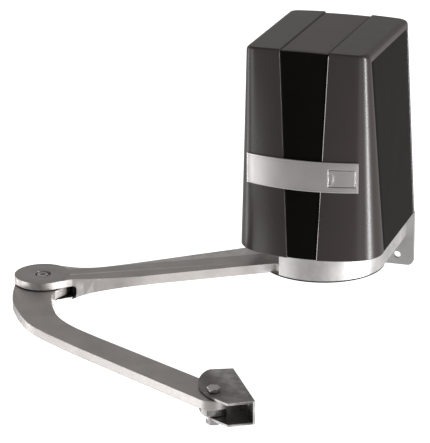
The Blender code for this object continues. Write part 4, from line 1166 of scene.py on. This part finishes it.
@dataclass
class InnerWorks:
    """Small repeated pieces inside the cover: cooling fins and screws."""

    paint: Paint
    lid_screws: int = 10
    fins: int = 36
    terminal_screws: int = 6

    def build(self) -> None:
        """Build the motor's fins, its flange screws and the terminals' screws."""
        ring = Repeater("copies_round_a_ring", True)
        line = Repeater("copies_along_a_line", False)
        low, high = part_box("motor_body")
        centre = (low + high) / 2
        radius = (high.x - low.x) / 2
        height = high.z - low.z
        fins = ring.make("motor_fins", centre, {
            "Count": self.fins, "Reach": radius, "Length": 4.0 * MM, "Width": 2.0 * MM,
            "Depth": 0.8 * height, "Finish": self.paint.materials["motor_black"]})
        settle(fins, "motor_unit")
        lid_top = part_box("gearbox_lid")[1].z
        gear = joint_place("rotor_spin")
        screws = ring.make("motor_flange_screws", Vector((gear.x, gear.y, lid_top + 0.8 * MM)), {
            "Count": self.lid_screws, "Reach": radius + 4.5 * MM, "Length": 5.0 * MM, "Width": 5.0 * MM,
            "Depth": 2.2 * MM, "Finish": self.paint.materials["bright_steel"]})
        settle(screws, "motor_unit")
        low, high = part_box("terminal_block")
        first = Vector((low.x + 8.0 * MM, (low.y + high.y) / 2 + 3.0 * MM, high.z + 0.1 * MM))
        heads = line.make("terminal_screws", first, {
            "Count": self.terminal_screws, "Reach": 60 * MM, "Length": 3.0 * MM, "Width": 3.0 * MM,
            "Depth": 1.2 * MM, "Finish": self.paint.materials["bright_steel"]})
        settle(heads, "motor_unit")


# --- stage -------------------------------------------------------------------------------

@dataclass(frozen=True)
class Softbox:
    """One soft studio light, by the direction it stands in from the opener."""

    name: str
    azimuth_deg: float
    elevation_deg: float
    distance: float
    width: float
    height: float
    watts: float

    def place(self, target: Vector) -> None:
        """Stand the light in its direction, facing the target."""
        light = bpy.data.lights.new(self.name, "AREA")
        light.shape = "RECTANGLE"
        light.size, light.size_y = self.width, self.height
        light.energy = self.watts
        lamp = bpy.data.objects.new(self.name, light)
        bpy.context.scene.collection.objects.link(lamp)
        turn, lift = math.radians(self.azimuth_deg), math.radians(self.elevation_deg)
        outward = Vector((math.sin(turn) * math.cos(lift), -math.cos(turn) * math.cos(lift), math.sin(lift)))
        lamp.location = target + outward * self.distance
        lamp.rotation_euler = outward.to_track_quat("Z", "Y").to_euler()


@dataclass
class Studio:
    """Pale floor, soft lights and the camera."""

    floor_height: float = -2.0
    floor_half: float = 30.0
    floor_glow: float = 0.18
    camera_place: Point = (1.0458, -3.8828, 1.4081)
    camera_azimuth_deg: float = 17.02
    camera_elevation_deg: float = 19.62
    lens: float = 236.08
    shift: tuple[float, float] = (-0.0910, -0.0055)
    lights: tuple[Softbox, ...] = (
        Softbox("right_strip", 84.0, -10.0, 2.4, 0.30, 2.4, 84.0),
        Softbox("right_panel", 46.0, -20.0, 3.0, 1.1, 1.4, 4.5),
        Softbox("left_strip", -98.0, -10.0, 2.4, 0.5, 2.0, 9.0),
        Softbox("left_panel", -60.0, -14.0, 2.8, 1.3, 2.0, 16.0),
    )

    def build(self) -> None:
        """Set up the floor, the lights, the world and the camera."""
        self._floor()
        for light in self.lights:
            light.place(Vector((0.0, -0.2, 0.05)))
        self._world()
        self._camera()

    def _floor(self) -> None:
        """A wide pale floor that glows a little, so its far part stays even."""
        half, height = self.floor_half, self.floor_height
        corners = [(-half, -half, height), (half, -half, height), (half, half, height), (-half, half, height)]
        floor = piece_from("studio_floor", corners, [(0, 1, 2, 3)])
        material = bpy.data.materials.new("floor_paper")
        material.use_nodes = True
        shader = material.node_tree.nodes["Principled BSDF"]
        shader.inputs["Base Color"].default_value = (0.85, 0.85, 0.85, 1.0)
        shader.inputs["Roughness"].default_value = 0.9
        shader.inputs["Emission Color"].default_value = (1.0, 1.0, 1.0, 1.0)
        seen = material.node_tree.nodes.new("ShaderNodeLightPath")
        glow = new_node(material.node_tree, "ShaderNodeMapRange", To_Min=self.floor_glow, To_Max=1.0)
        material.node_tree.links.new(seen.outputs["Is Camera Ray"], glow.inputs["Value"])
        material.node_tree.links.new(glow.outputs["Result"], shader.inputs["Emission Strength"])
        floor.data.materials.append(material)

    @staticmethod
    def _world() -> None:
        """A dim, even surround."""
        world = bpy.data.worlds.new("studio_surround")
        world.use_nodes = True
        background = world.node_tree.nodes["Background"]
        background.inputs["Color"].default_value = (0.36, 0.35, 0.345, 1.0)
        background.inputs["Strength"].default_value = 1.0
        bpy.context.scene.world = world
        bpy.context.scene.view_settings.view_transform = "Standard"

    def _camera(self) -> None:
        """The camera, on the viewer's side and above."""
        lens = bpy.data.cameras.new("camera")
        lens.lens = self.lens
        lens.sensor_width = 36.0
        lens.shift_x, lens.shift_y = self.shift
        lens.clip_end = 200.0
        camera = bpy.data.objects.new("camera", lens)
        bpy.context.scene.collection.objects.link(camera)
        camera.location = self.camera_place
        camera.rotation_euler = (math.radians(90.0 - self.camera_elevation_deg), 0.0,
                                 math.radians(self.camera_azimuth_deg))
        bpy.context.scene.camera = camera


def main() -> None:
    """Build every sub-assembly in order."""
    logging.basicConfig(level=logging.INFO, format="%(name)s: %(message)s")
    paint = Paint()
    paint.dress_frame()
    cover = Cover(paint)
    cover.build_shell()
    cover.build_front_panel()
    cover.build_edge_highlight_bead()
    cover.build_roof_strip()
    cover.build_side_panels()
    band = BadgeBand(paint, cover)
    band.build_band()
    band.build_flap()
    Metalwork(paint).build()
    ElbowFace(paint).build()
    ElbowSlotShadePad(paint).build()
    InnerWorks(paint).build()
    Studio().build()


if __name__ == "__main__":
    main()
